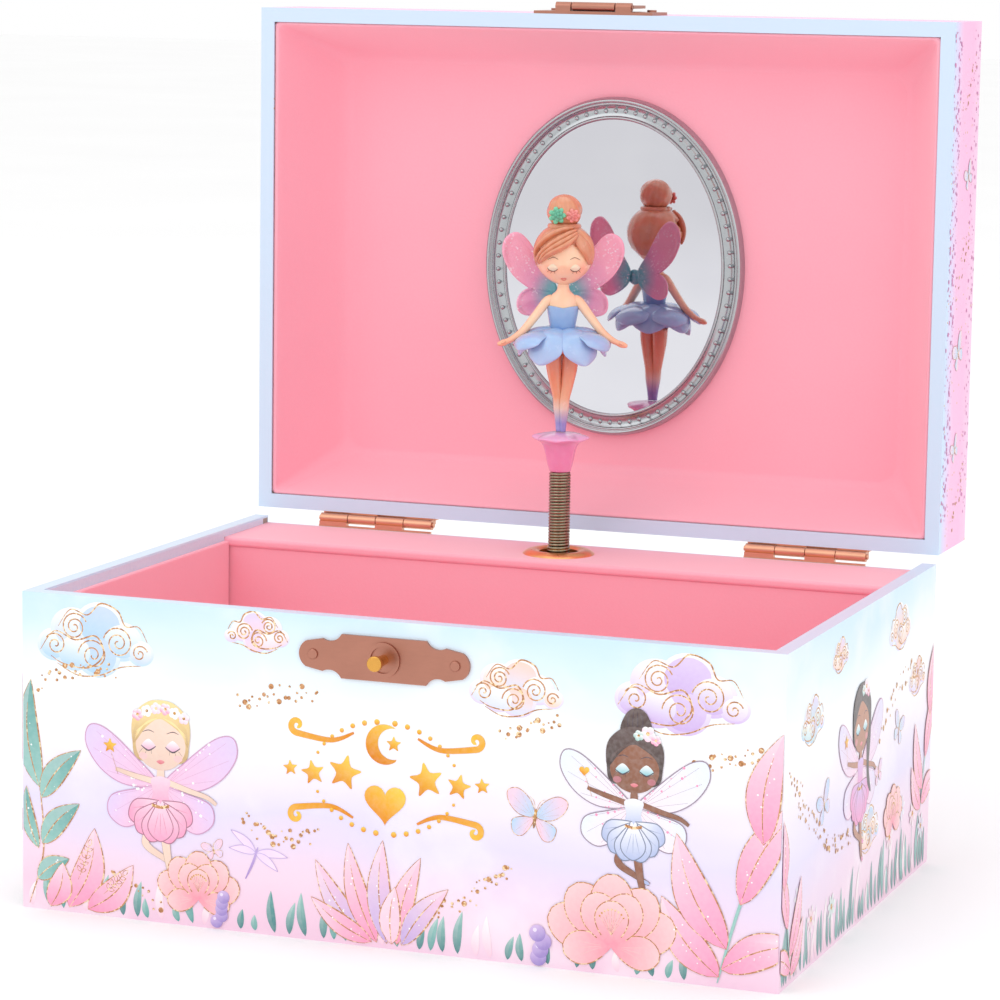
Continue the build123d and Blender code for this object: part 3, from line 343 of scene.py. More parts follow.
case_low, case_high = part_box("base_wrap")
lid_low, lid_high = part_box("lid_wrap")
LINING = lining_paper()
BASE_PAPER = front_paper(case_low.z, case_high.z)
LID_PAPER = lid_paper(lid_low.y, lid_high.y - lid_low.y)
RIM_PAPER = rim_paper()
ROSE = metal("rose_gold", ROSE_GOLD, 0.36, brushed=(0.3, 1, 1))
ROSE_LIGHT = metal("rose_gold_hinge", srgb(226, 168, 138), 0.36, brushed=(0.3, 1, 1))
COPPER = metal("copper", srgb(242, 176, 118), 0.3, wear=0.04)
BRASS = metal("brass", srgb(226, 168, 84), 0.25)
STEEL = metal("steel", srgb(176, 176, 180), 0.32)
SPRING = metal("spring_wire", srgb(158, 148, 126), 0.18, wear=0.08)
CHROME = metal("chrome", srgb(182, 186, 189), 0.24, wear=0.08)
BOARD = board_face()
GLASS = looking_glass()
PRINT = tinted("print_ink", 0.36, Coat_Weight=0.2, Coat_Roughness=0.25)
FOIL = tinted("gold_foil", 0.32, metallic=0.75)
GLITTER = tinted("glitter_ink", 0.4, metallic=0.35, glitter=0.75)

NODE_FINISH = {
    BOARD: [
        "base_bottom_board", "base_front_board", "base_back_board", "base_left_board", "base_right_board",
        "lid_top_board", "lid_front_board", "lid_back_board", "lid_left_board", "lid_right_board",
    ],
    BASE_PAPER: ["base_wrap"],
    LID_PAPER: ["lid_wrap"],
    LINING: [
        "tray_floor_lining", "tray_wall_linings", "compartment_wall", "compartment_cover",
        "lid_ceiling_lining",
    ],
    ROSE: ["catch_plate", "catch_rivets", "hasp_plate", "hasp_rivets", "hasp_pin", "hasp_flap"],
    ROSE_LIGHT: [
        "hinge_base_leaves", "hinge_pins", "hinge_base_screws", "hinge_lid_leaves", "hinge_lid_screws",
    ],
    COPPER: ["spindle_grommet"],
    BRASS: [
        "catch_stud", "music_cylinder", "cylinder_gears", "layshaft", "governor_fly", "crown_wheel",
        "mainspring_barrel", "barrel_cover",
    ],
    STEEL: [
        "movement_bedplate", "movement_brackets", "comb_bed", "music_comb", "comb_screws", "movement_screws",
        "winding_arbor", "cylinder_arbor", "winding_key", "stop_wire",
    ],
    SPRING: ["spindle", "mainspring"],
    GLASS: ["mirror_glass"],
}
for finish, names in NODE_FINISH.items():
    for name in names:
        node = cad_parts[name]
        node.data.materials.clear()
        node.data.materials.append(finish)


# ---------------------------------------------------------------- mesh helpers
def piece(name, mesh, body, slot, *replaced, smooth=True):
    """Puts a finished bmesh or mesh into the scene on a CAD body."""
    if isinstance(mesh, bmesh.types.BMesh):
        data = bpy.data.meshes.new(name)
        mesh.to_mesh(data)
        mesh.free()
        mesh = data
    for face in mesh.polygons:
        face.use_smooth = smooth
    made = bpy.data.objects.new(name, mesh)
    bpy.context.scene.collection.objects.link(made)
    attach(made, body)
    if replaced:
        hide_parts(*replaced)
    return made


def finish_with(made, *materials):
    """Gives a piece its material."""
    for material in materials:
        made.data.materials.append(material)
    return made


def add_modifier(made, kind, **settings):
    modifier = made.modifiers.new(kind.lower(), kind)
    for key, value in settings.items():
        setattr(modifier, key, value)
    return modifier


def grid_mesh(rows, closed=False, caps=False):
    """A mesh through rows of points, each row the same length; closed rows are rings."""
    mesh = bmesh.new()
    made = [[mesh.verts.new(point) for point in row] for row in rows]
    count = len(rows[0])
    steps = count if closed else count - 1
    for row, following in zip(made, made[1:]):
        for number in range(steps):
            after = (number + 1) % count
            mesh.faces.new((row[number], row[after], following[after], following[number]))
    if caps:
        mesh.faces.new(list(reversed(made[0])))
        mesh.faces.new(made[-1])
    bmesh.ops.recalc_face_normals(mesh, faces=mesh.faces)
    return mesh


def tube_mesh(path, radii, sides=12, flatten=1.0):
    """A round tube along a list of points, with a radius at each, capped by small rings."""
    rows = []
    frame_x = None
    for number, point in enumerate(path):
        before = path[max(number - 1, 0)]
        after = path[min(number + 1, len(path) - 1)]
        along = (after - before).normalized()
        if frame_x is None:
            frame_x = along.orthogonal().normalized()
        frame_x = (frame_x - along * frame_x.dot(along)).normalized()
        frame_y = along.cross(frame_x)
        radius = radii[number] if hasattr(radii, "__len__") else radii
        rows.append(
            [
                point
                + frame_x * radius * math.cos(TAU * side / sides)
                + frame_y * radius * flatten * math.sin(TAU * side / sides)
                for side in range(sides)
            ]
        )
    return grid_mesh(rows, closed=True, caps=True)


def merge(target, source):
    """Adds one bmesh to another."""
    data = bpy.data.meshes.new("merge")
    source.to_mesh(data)
    source.free()
    target.from_mesh(data)
    bpy.data.meshes.remove(data)
    return target


# ---------------------------------------------------------------- lining of the lid
def lid_lining():
    """The padded lining: a mouth rim, softly coved walls and a flat ceiling in one skin."""
    low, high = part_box("lid_wall_lining")
    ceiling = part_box("lid_ceiling_lining")[0].y
    middle = (low + high) / 2
    half_mouth = Vector(((high.x - low.x) / 2, (high.z - low.z) / 2))
    ceiling_low, ceiling_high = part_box("lid_ceiling_lining")
    half_ceiling = Vector(((ceiling_high.x - ceiling_low.x) / 2, (ceiling_high.z - ceiling_low.z) / 2))
    depth = ceiling - low.y

    def ring(half, y, corner):
        points = []
        for sx, sz, first in ((1, 1, 0), (-1, 1, 1), (-1, -1, 2), (1, -1, 3)):
            for step in range(7):
                angle = (first + step / 6) * TAU / 4
                points.append(
                    Vector(
                        (
                            middle.x + sx * (half.x - corner) + corner * math.cos(angle),
                            y,
                            middle.z + sz * (half.y - corner) + corner * math.sin(angle),
                        )
                    )
                )
        return points

    # share of the way in, share of the depth, corner radius: the cove turns the wall into the ceiling
    profile = [
        (-0.005, 0.06, 0.6), (0.0, 0.015, 0.8), (0.03, 0.0, 1.0), (0.075, 0.02, 1.2), (0.11, 0.08, 1.4),
        (0.3, 0.36, 2.0), (0.55, 0.66, 2.6), (0.74, 0.86, 3.0), (0.84, 0.94, 3.4), (0.93, 0.985, 3.6),
        (1.02, 1.0, 3.8), (1.12, 1.004, 3.8),
    ]
    rows = []
    for inward, deep, corner in profile:
        half = half_mouth.lerp(half_ceiling, inward)
        rows.append(ring(half, low.y + deep * depth, corner * MM))
    mesh = grid_mesh(rows, closed=True)
    made = piece("lid_lining_skin", mesh, "lid", "pink_lining", "lid_wall_lining")
    return finish_with(made, LINING)


lid_lining()


# ---------------------------------------------------------------- mirror frame
def mirror_frame():
    """An oval pressed frame: two raised rims with a row of beads between."""
    low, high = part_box("mirror_frame")
    glass_low, glass_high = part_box("mirror_glass")
    centre = (low + high) / 2
    back = high.y
    outer = Vector(((high.x - low.x) / 2, (high.z - low.z) / 2))
    inner = Vector(((glass_high.x - glass_low.x) / 2, (glass_high.z - glass_low.z) / 2))
    rise = high.y - low.y
    around = 220
    channel = 0.56  # share of the height
    bead_radius = 0.5 * MM
    # share of the way out, share of the height
    profile = [
        (0.0, 0.0), (0.0, 0.6), (0.03, 0.72), (0.08, 0.78), (0.13, 0.74), (0.15, 0.6), (0.17, channel),
        (0.4, channel),
        (0.62, 0.58), (0.64, 0.7), (0.68, 0.8), (0.71, 0.78), (0.73, 0.74), (0.76, 0.88), (0.82, 0.98),
        (0.9, 0.94), (0.96, 0.7), (1.0, 0.3),
        (1.0, 0.0),
    ]
    rows = []
    for step in range(around):
        angle = TAU * step / around
        row = []
        for out, up in profile:
            half = inner.lerp(outer, out)
            row.append(
                Vector(
                    (
                        centre.x + half.x * math.cos(angle),
                        back - up * rise,
                        centre.z + half.y * math.sin(angle),
                    )
                )
            )
        rows.append(row)
    rows.append(rows[0])
    mesh = grid_mesh(rows)
    bmesh.ops.remove_doubles(mesh, verts=mesh.verts, dist=1e-7)
    bmesh.ops.recalc_face_normals(mesh, faces=mesh.faces)
    bead_ring = inner.lerp(outer, 0.4)
    beads = 74
    for step in range(beads):
        angle = TAU * (step + 0.5) / beads
        place = Vector(
            (
                centre.x + bead_ring.x * math.cos(angle),
                back - channel * rise,
                centre.z + bead_ring.y * math.sin(angle),
            )
        )
        bmesh.ops.create_uvsphere(
            mesh, u_segments=10, v_segments=6, radius=bead_radius, matrix=Matrix.Translation(place)
        )
    made = piece("mirror_frame_beaded", mesh, "lid", "chrome", "mirror_frame")
    return finish_with(made, CHROME)


mirror_frame()


# ---------------------------------------------------------------- spring
def spring_coils():
    """Close-wound wire on each bending segment: separate turns, so that the bends open between them."""
    names = sorted(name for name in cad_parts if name.startswith("spring_segment"))
    for number, name in enumerate(names):
        low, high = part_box(name)
        centre = (low + high) / 2
        radius = (high.x - low.x) / 2
        wire = 0.33 * MM
        turns = 5
        rows = 18 * turns + 1
        path = []
        for step in range(rows):
            angle = TAU * step / 18
            height = low.z - 0.12 * MM + (high.z - low.z + 0.24 * MM) * step / (rows - 1)
            path.append(
                Vector(
                    (
                        centre.x + (radius - wire) * math.cos(angle),
                        centre.y + (radius - wire) * math.sin(angle),
                        height,
                    )
                )
            )
        made = piece(
            f"spring_coil_{number + 1}", tube_mesh(path, wire, 8), f"spring_{number + 1}", "spring_steel",
            name,
        )
        finish_with(made, SPRING)
    wire = 0.33 * MM
    low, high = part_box("spring_segment_1")
    radius = (high.x - low.x) / 2
    centre = (low + high) / 2
    path = []
    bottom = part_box("compartment_cover")[0].z
    top = low.z - 0.2 * MM
    turns = 6
    for step in range(18 * turns + 1):
        angle = TAU * step / 18
        path.append(
            Vector(
                (
                    centre.x + (radius - wire + 0.1 * MM) * math.cos(angle),
                    centre.y + (radius - wire + 0.1 * MM) * math.sin(angle),
                    bottom + (top - bottom) * step / (18 * turns),
                )
            )
        )
    finish_with(piece("spring_foot_coil", tube_mesh(path, wire, 8), "spindle", "spring_steel"), SPRING)


spring_coils()


# ---------------------------------------------------------------- turned-in paper
def rim_turn_in():
    """The printed paper folds over the rim and down the inside of the three open walls, behind the lining."""
    lining_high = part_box("tray_wall_linings")[1]
    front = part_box("base_front_board")[1].y
    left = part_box("base_left_board")[1].x
    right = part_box("base_right_board")[0].x
    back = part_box("base_back_board")[0].y
    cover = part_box("compartment_cover")[1].z
    top = case_high.z - 0.3 * MM
    skin = 0.12 * MM
    mesh = bmesh.new()
    runs = (
        ((left, front, lining_high.z - 4 * MM), (left + skin, lining_high.y, top)),
        ((right - skin, front, lining_high.z - 4 * MM), (right, lining_high.y, top)),
        ((left, lining_high.y, cover), (left + skin, back, top)),
        ((right - skin, lining_high.y, cover), (right, back, top)),
        ((left, front, lining_high.z - 4 * MM), (right, front + skin, top)),
    )
    for low, high in runs:
        low, high = Vector(low), Vector(high)
        bmesh.ops.create_cube(
            mesh,
            size=1.0,
            matrix=Matrix.Translation((low + high) / 2) @ Matrix.Diagonal((*(high - low), 1)),
        )
    finish_with(piece("rim_turn_in", mesh, "base", "printed_paper", smooth=False), RIM_PAPER)


rim_turn_in()


# ---------------------------------------------------------------- printed artwork
# Every motif is drawn in millimetres on the flat of one wall: u to the right, v up.
INKS = {"ink": PRINT, "foil": FOIL, "glitter": GLITTER}
GLITTER_GOLD = srgb(206, 148, 96)
TEAL = srgb(92, 162, 158)
TEAL_LIGHT = srgb(150, 200, 192)
TEAL_DARK = srgb(66, 130, 132)
PINK = srgb(246, 150, 190)
ROSE_DOT = srgb(206, 92, 168)
PINK_LIGHT = srgb(252, 208, 226)
PEACH = srgb(253, 212, 196)
LILAC_DEEP = srgb(196, 172, 226)
PLUM = srgb(172, 140, 206)
BLUE_WASH = srgb(178, 214, 244)
LINE = srgb(70, 52, 66)
SKIN_FAIR = srgb(253, 220, 202)
SKIN_DARK = srgb(150, 96, 70)


LIFT = 0.0004  # millimetres that each shape lies above the one before


def polar(centre, radius, angle):
    """A place at a distance and an angle from a centre."""
    return Vector((centre[0] + radius * math.cos(angle), centre[1] + radius * math.sin(angle)))


def disc(centre, width, height=None, turn=0.0, points=28):
    """A round or oval outline, turned if asked."""
    height = height or width
    loop = []
    for step in range(points):
        angle = TAU * step / points
        x, y = width * math.cos(angle), height * math.sin(angle)
        loop.append(
            Vector(
                (
                    centre[0] + x * math.cos(turn) - y * math.sin(turn),
                    centre[1] + x * math.sin(turn) + y * math.cos(turn),
                )
            )
        )
    return loop


def curve_through(points, steps=6, closed=False):
    """A smooth line through the points."""
    points = [Vector(point) for point in points]
    count = len(points)
    line = []
    spans = count if closed else count - 1
    for number in range(spans):
        if closed:
            four = [points[(number + shift) % count] for shift in (-1, 0, 1, 2)]
        else:
            four = [points[min(max(number + shift, 0), count - 1)] for shift in (-1, 0, 1, 2)]
        a, b, c, d = four
        for step in range(steps):
            t = step / steps
            line.append(
                0.5 * (
                    2 * b + (c - a) * t + (
                        2 * a - 5 * b + 4 * c - d
                    ) * t * t + (3 * b - a - 3 * c + d) * t ** 3
                )
            )
    if not closed:
        line.append(points[-1])
    return line


def leaf_outline(base, tip, width, bend=0.0, steps=14):
    """A pointed leaf: its two edges and its midrib."""
    base, tip = Vector(base), Vector(tip)
    along = tip - base
    side = Vector((-along.y, along.x))
    rib = [base + along * (k / steps) + side * bend * math.sin(math.pi * k / steps) for k in range(steps + 1)]
    right, left = [], []
    for k, point in enumerate(rib):
        share = k / steps
        half = width / 2 * math.sin(math.pi * share ** 0.8) ** 0.85 if 0 < share < 1 else 0.0
        normal = side.normalized()
        right.append(point - normal * half)
        left.append(point + normal * half)
    return right, left, rib


def turned_frame(x, y, size, turn):
    """Gives a function that takes a motif's own coordinates to places on the wall."""
    along = Vector((math.cos(turn), math.sin(turn))) * size
    upward = Vector((-math.sin(turn), math.cos(turn))) * size
    return lambda a, b: Vector((x, y)) + along * a + upward * b


def tint_value(colour):
    """A linear colour as the tint layer stores it."""
    return (*[value ** (1 / 2.2) for value in colour], 1.0)


class Art:
    """Ink, foil and glitter shapes laid on one wall, each a hair above the last."""

    def __init__(self, name, body, slot, origin, across, up, limits, seed=1):
        self.name = name
        self.limits = limits
        self.body = body
        self.slot = slot
        self.origin = Vector(origin)
        self.across = Vector(across)
        self.up = Vector(up)
        self.outward = self.across.cross(self.up)
        self.meshes = {key: bmesh.new() for key in INKS}
        self.tints = {key: mesh.loops.layers.color.new("tint") for key, mesh in self.meshes.items()}
        self.dice = random.Random(seed)
        self.level(0)

    def level(self, depth):
        """Starts a motif: those of a greater depth lie over the others."""
        self.lift = 0.02 + 0.05 * depth

    def spot(self, point, lift):
        """A place on the wall, kept within its edges."""
        low, high, floor, top = self.limits
        point = Vector((min(max(point.x, low), high), min(max(point.y, floor), top)))
        return self.origin + (self.across * point.x + self.up * point.y + self.outward * lift) * MM

    def fill(self, loop, first, second=None, direction=(0, 1), where="ink"):
        """A filled outline whose colour runs from first to second along a direction."""
        second = second or first
        mesh, tint = self.meshes[where], self.tints[where]
        self.lift += LIFT
        lift = self.lift
        way = Vector(direction)
        shares = [point.dot(way) for point in loop]
        low, high = min(shares), max(shares)
        span = max(high - low, 1e-6)
        verts = [
            mesh.verts.new(self.spot(point, lift))
            for point in loop
        ]
        for triangle in tessellate_polygon([[Vector((point.x, point.y, 0)) for point in loop]]):
            try:
                face = mesh.faces.new([verts[number] for number in triangle])
            except ValueError:
                continue
            face.normal_update()
            if face.normal.dot(self.outward) < 0:
                face.normal_flip()
            for corner in face.loops:
                share = (shares[verts.index(corner.vert)] - low) / span
                mixed = [a + (b - a) * share for a, b in zip(first, second)]
                corner[tint] = tint_value(mixed)

    def stroke(self, path, width, colour, second=None, where="ink", taper=True):
        """A line of ink that swells in the middle and thins towards its ends."""
        path = [Vector(point) for point in path]
        left, right = [], []
        count = len(path)
        for number, point in enumerate(path):
            before, after = path[max(number - 1, 0)], path[min(number + 1, count - 1)]
            along = (after - before)
            if along.length < 1e-9:
                along = Vector((1, 0))
            along.normalize()
            normal = Vector((-along.y, along.x))
            share = number / (count - 1)
            half = width / 2 * ((0.35 + 0.65 * math.sin(math.pi * share)) if taper else 1.0)
            left.append(point + normal * half)
            right.append(point - normal * half)
        self.fill_strip(left, right, colour, second or colour, where)

    def fill_strip(self, left, right, first, second, where):
        """A band between two edges whose colour changes along its length."""
        mesh, tint = self.meshes[where], self.tints[where]
        self.lift += LIFT
        rows = [[mesh.verts.new(self.spot(p, self.lift)) for p in pair] for pair in zip(left, right)]
        count = len(rows)
        for number in range(count - 1):
            a, b = rows[number], rows[number + 1]
            face = mesh.faces.new((a[0], a[1], b[1], b[0]))
            face.normal_update()
            if face.normal.dot(self.outward) < 0:
                face.normal_flip()
            for corner in face.loops:
                share = (number + (1 if corner.vert in b else 0)) / (count - 1)
                mixed = [p + (q - p) * share for p, q in zip(first, second)]
                corner[tint] = tint_value(mixed)

    def gold(self, path, width=0.32, taper=True):
        self.stroke(path, width, GLITTER_GOLD, where="glitter", taper=taper)

    def finish(self):
        """Makes one piece for each kind of ink."""
        for key, mesh in self.meshes.items():
            if not mesh.faces:
                mesh.free()
                continue
            made = piece(f"{self.name}_{key}", mesh, self.body, self.slot, smooth=False)
            finish_with(made, INKS[key])

    # -------- motifs
    def spiral(self, centre, radius, turns, start=0.0, way=1, width=0.3):
        """A curl that winds inward."""
        steps = int(20 * turns)
        path = [
            polar(centre, radius * (1 - 0.9 * k / steps), start + way * TAU * turns * k / steps)
            for k in range(steps + 1)
        ]
        self.gold(path, width, taper=False)

    def dots(self, start, end, count, spread=2.0, size=0.5, arch=0.0, ink=None):
        """A loose trail of specks, gold unless an ink is given."""
        self.level(0.5)
        start, end = Vector(start), Vector(end)
        normal = Vector((-(end - start).y, (end - start).x)).normalized()
        for number in range(count):
            share = (number + self.dice.random()) / count
            place = start.lerp(end, share) + normal * (
                self.dice.uniform(-spread, spread) + arch * math.sin(math.pi * share)
            )
            radius = size * self.dice.choice((0.35, 0.5, 0.6, 0.8, 1.1))
            if ink is None:
                self.fill(disc(place, radius, points=10), GLITTER_GOLD, where="glitter")
            else:
                self.fill(disc(place, radius, points=8), ink)

    def cloud(self, x, y, width, first, second, third, flip=1):
        """Soft puffs with gold spirals and a gold crest line."""
        self.level(0)
        s = width / 24
        puffs = [
            (-8.6, -1.0, 3.0), (-4.6, 2.2, 4.0), (1.0, 3.3, 4.3), (5.6, 0.6, 3.6), (9.6, -1.4, 2.3),
            (0.6, -2.6, 3.9), (-4.4, -2.2, 3.4),
        ]
        for px, py, radius in puffs:
            self.fill(
                disc(
                    (x + flip * px * s, y + py * s), radius * s * 1.22, radius * s * 1.06
                ), third, WHITE, (0, 1)
            )
        for number, (px, py, radius) in enumerate(puffs):
            low, high = ((first, WHITE), (second, WHITE), (first, second))[number % 3]
            self.fill(
                disc((x + flip * px * s, y + py * s), radius * s, radius * s * 0.88),
                low,
                high,
                (0.2 * flip, 1),
            )
        for px, py, radius, turns, start, way in (
            (-8.4, -1.0, 2.3, 1.7, 2.6, -1), (-4.4, 2.7, 2.8, 2.3, 0.4, 1), (4.9, 0.2, 3.2, 2.2, 2.9, -1),
            (-0.4, -2.5, 3.2, 2.0, 3.1, -1), (9.4, -1.5, 1.7, 1.5, 0.3, 1),
        ):
            start = start if flip > 0 else math.pi - start
            self.spiral((x + flip * px * s, y + py * s), radius * s, turns, start, way * flip, 0.27)
        crest = [
            (-7.8, 2.6), (-5.2, 6.0), (-1.6, 5.2), (1.2, 7.6), (4.8, 6.4), (6.4, 3.6), (9.2, 3.6),
            (11.0, 0.8),
        ]
        self.gold(curve_through([(x + flip * a * s, y + b * s) for a, b in crest], 8), 0.3)
        sweep = [
            (-11.6, -2.2), (-8.6, 1.6), (-4.2, 0.2), (0.2, 1.2), (1.8, -2.2), (-1.4, -5.0), (-6.6, -4.6),
            (-9.4, -3.2),
        ]
        self.gold(curve_through([(x + flip * a * s, y + b * s) for a, b in sweep], 8), 0.34)
        foot = [(-8.0, -4.6), (-3.6, -6.6), (1.2, -6.2), (5.4, -4.4), (9.6, -3.8)]
        self.gold(curve_through([(x + flip * a * s, y + b * s) for a, b in foot], 8), 0.26)

    def leaf(self, base, tip, width, first, second, bend=0.0, edge=True, rib=True, speckle=0):
        """A pointed leaf in two tones, with veins."""
        right, left, middle = leaf_outline(base, tip, width, bend)
        self.fill(right + left[::-1], first, second, tuple(Vector(tip) - Vector(base)))
        lighter = tuple(value + (0.9 - value) * 0.3 for value in second)
        self.fill(middle + left[::-1], first, lighter, tuple(Vector(tip) - Vector(base)))
        if edge:
            self.gold(right, 0.3)
            self.gold(left, 0.2)
        if rib:
            self.gold(middle[: int(len(middle) * 0.85)], 0.24)
        for _ in range(speckle):
            point = self.dice.choice(middle[3:-3]) + Vector(
                (self.dice.uniform(-1, 1), self.dice.uniform(-1, 1))
            ) * width * 0.22
            self.fill(disc(point, self.dice.uniform(0.08, 0.2), points=8), WHITE)

    def grass(self, x, low, height, width, lean, first, second, edge=False):
        self.leaf((x, low), (x + lean, low + height), width, first, second, bend=0.06, edge=edge, rib=edge)

    def sprig(self, base, tip, size):
        """A thin gold twig with small outlined leaves."""
        base, tip = Vector(base), Vector(tip)
        stem = curve_through([base, base.lerp(tip, 0.5) + Vector((0.3, 0)), tip], 6)
        self.gold(stem, 0.16)
        along = (tip - base).normalized()
        normal = Vector((-along.y, along.x))
        for number in range(4):
            foot = base.lerp(tip, 0.25 + 0.2 * number)
            for side in (-1, 1):
                end = foot + along * size * 0.5 + normal * side * size * 0.6
                right, left, _ = leaf_outline(foot, end, size * 0.42, 0, 8)
                self.gold(right + left[::-1], 0.13, taper=False)
        right, left, _ = leaf_outline(tip, tip + along * size * 0.9, size * 0.5, 0, 8)
        self.gold(right + left[::-1], 0.13, taper=False)

    def petal(self, centre, angle, length, width, first, second, outline=True):
        """A broad rounded petal."""
        loop = []
        for k in range(20):
            share = k / 19
            half = width / 2 * math.sin(
                math.pi * min(1.0, share * 0.97 + 0.015)
            ) ** 0.55 * (0.35 + 0.65 * share ** 0.6)
            loop.append((share * length, half))
        shape = [Vector(p) for p in loop] + [Vector((x, -y)) for x, y in reversed(loop)]
        turned = [
            Vector(
                (
                    centre[0] + p.x * math.cos(angle) - p.y * math.sin(angle),
                    centre[1] + p.x * math.sin(angle) + p.y * math.cos(angle),
                )
            )
            for p in shape
        ]
        self.fill(turned, first, second, (math.cos(angle), math.sin(angle)))
        if outline:
            self.gold(turned[4:-4], 0.2, taper=False)
        for shift in (-0.22, 0.0, 0.22):
            vein = [
                polar(centre, length * (0.2 + 0.12 * k), angle + shift * (0.5 + 0.12 * k)) for k in range(6)
            ]
            self.stroke(vein, 0.12, tuple(value * 0.86 for value in second))

    def flower(self, x, y, size):
        """A large soft bloom seen from the side."""
        self.level(3)
        deep, light = srgb(246, 150, 170), srgb(253, 206, 208)
        for angle, length, width in (
            (2.75, 1.0, 0.8), (0.4, 1.0, 0.8), (2.2, 1.0, 0.82), (0.95, 1.0, 0.82), (1.57, 1.02, 0.8),
            (3.3, 0.72, 0.6), (-0.15, 0.72, 0.6), (1.95, 0.78, 0.7), (1.2, 0.8, 0.7), (1.57, 0.64, 0.62),
        ):
            self.petal((x, y - size * 0.3), angle, size * length, size * width, deep, light)
        for number in range(9):
            tip = polar((x, y + size * 0.02), size * 0.2, 0.5 + number * 0.27)
            self.gold([Vector((x, y - size * 0.15)), tip], 0.12)
            self.fill(disc(tip, 0.2, points=8), GOLD, where="glitter")

    def berries(self, x, y, size, count=5):
        """A small upright bunch of round lilac berries."""
        self.level(4)
        for number in range(count):
            centre = (x + self.dice.uniform(-1, 1) * size, y + number * size * 0.75)
            self.fill(disc(centre, size * 0.8), srgb(150, 128, 200), srgb(214, 188, 232), (-0.5, 1))
            self.fill(
                disc((centre[0] - size * 0.25, centre[1] + size * 0.3), size * 0.2, points=10),
                srgb(236, 224, 246),
            )

    def butterfly(self, x, y, size, turn=0.0, first=BLUE_WASH, second=PINK_LIGHT):
        """Four wings with gold outlines and veins."""
        self.level(1)
        at = turned_frame(x, y, size, turn)
        for side in (-1, 1):
            upper = [(0.03, 0.05), (0.2, 0.5), (0.62, 0.78), (0.95, 0.66), (0.86, 0.3), (0.5, 0.02)]
            lower = [(0.03, 0.0), (0.4, -0.04), (0.7, -0.2), (0.62, -0.56), (0.36, -0.62), (0.14, -0.36)]
            for shape, ink in ((lower, (second, first)), (upper, (first, second))):
                loop = curve_through([at(side * a, b) for a, b in shape], 5, closed=True)
                self.fill(loop, *ink, (side, 0.3))
                self.gold(loop + loop[:1], 0.05 * size ** 0.5, taper=False)
                for a, b in shape[1:5]:
                    self.gold([at(0.05 * side, 0.02), at(side * a * 0.85, b * 0.85)], 0.03 * size ** 0.5)
            self.gold(
                curve_through([at(0, 0.2), at(side * 0.1, 0.5), at(side * 0.24, 0.62)], 4),
                0.03 * size ** 0.5,
            )
        self.fill(
            disc(at(0, -0.02), 0.055 * size, 0.3 * size, turn), srgb(150, 110, 90), GOLD, where="glitter"
        )

    def dragonfly(self, x, y, size, turn):
        """Four narrow wings on a thin lilac body."""
        self.level(1)
        at = turned_frame(x, y, size, turn)
        for side in (-1, 1):
            for reach, rise, wide in ((1.0, 0.42, 0.26), (0.86, -0.12, 0.24)):
                right, left, _ = leaf_outline(
                    at(0, 0.1), at(side * reach, rise), wide * size, 0.05 * side, 10
                )
                self.fill(right + left[::-1], srgb(236, 214, 244), srgb(252, 226, 240), (side, 0))
                self.stroke(right + left[::-1] + right[:1], 0.14, LILAC_DEEP, taper=False)
        self.stroke(curve_through([at(0, 0.3), at(0.02, -0.2), at(-0.03, -0.8)], 5), 0.5, LILAC_DEEP, PLUM)

    def star(self, x, y, size, turn=0.0, colours=None, points=5, waist=0.5):
        """A foil star."""
        loop = []
        for k in range(points * 2):
            radius = size if k % 2 == 0 else size * waist
            loop.append(polar((x, y), radius, math.pi / 2 + turn + math.pi * k / points))
        low, high = colours or (srgb(226, 134, 22), srgb(252, 214, 88))
        self.fill(curve_through(loop, 4, closed=True), low, high, (0.6, 1), where="foil")

    def heart(self, x, y, size, turn=0.0):
        """A foil heart."""
        loop = []
        for k in range(40):
            t = TAU * k / 40
            a, b = 16 * math.sin(t) ** 3 / 17, (
                13 * math.cos(t) - 5 * math.cos(2 * t) - 2 * math.cos(3 * t) - math.cos(4 * t)
            ) / 17
            loop.append(
                Vector(
                    (
                        x + size * (a * math.cos(turn) - b * math.sin(turn)),
                        y + size * (a * math.sin(turn) + b * math.cos(turn)),
                    )
                )
            )
        self.fill(loop, srgb(232, 140, 26), srgb(252, 212, 84), (0.6, 1), where="foil")

    def moon(self, x, y, size):
        """A foil crescent."""
        outer = [polar((x, y), size, 0.95 + k * (TAU - 1.9) / 26) for k in range(27)]
        inner_centre = (x + size * 0.42, y + size * 0.05)
        inner = [polar(inner_centre, size * 0.78, 1.3 + k * (TAU - 2.6) / 26) for k in range(27)]
        self.fill(outer + inner[::-1], srgb(224, 130, 20), srgb(250, 206, 80), (0.6, 1), where="foil")

    def scroll(self, x, y, size, flip=1, row=1):
        """A foil flourish that ends in a curl; row turns it upside down."""
        curl = (x + flip * size * 1.1, y + row * size * 0.25)
        path = []
        for k in range(23):
            angle = -row * math.pi / 2 + flip * row * TAU * k / 22
            path.append(polar(curl, size * 0.3 * (1 - 0.8 * k / 22), angle))
        start = (x - flip * size * 1.2, y + row * size * 0.15)
        lead = curve_through([start, (x - flip * size * 0.3, y - row * size * 0.2), tuple(path[0])], 9)
        self.stroke(lead + path[1:], size * 0.24, srgb(228, 136, 24), srgb(252, 208, 80), where="foil")

    # -------- winged sprites of our own design
    def sprite(self, x, foot, height, flip, skin, hair, dress, wing, style):
        """A small winged dancer: big round head, closed eyes, petal dress and one arm held out."""
        self.level(2)
        s = height / 33.0
        dress_low, dress_high = dress

        def at(a, b):
            return Vector((x + flip * a * s, foot + b * s))

        def loop(points, steps=6):
            return curve_through([at(a, b) for a, b in points], steps, closed=True)

        def line(points, steps=6):
            return curve_through([at(a, b) for a, b in points], steps)

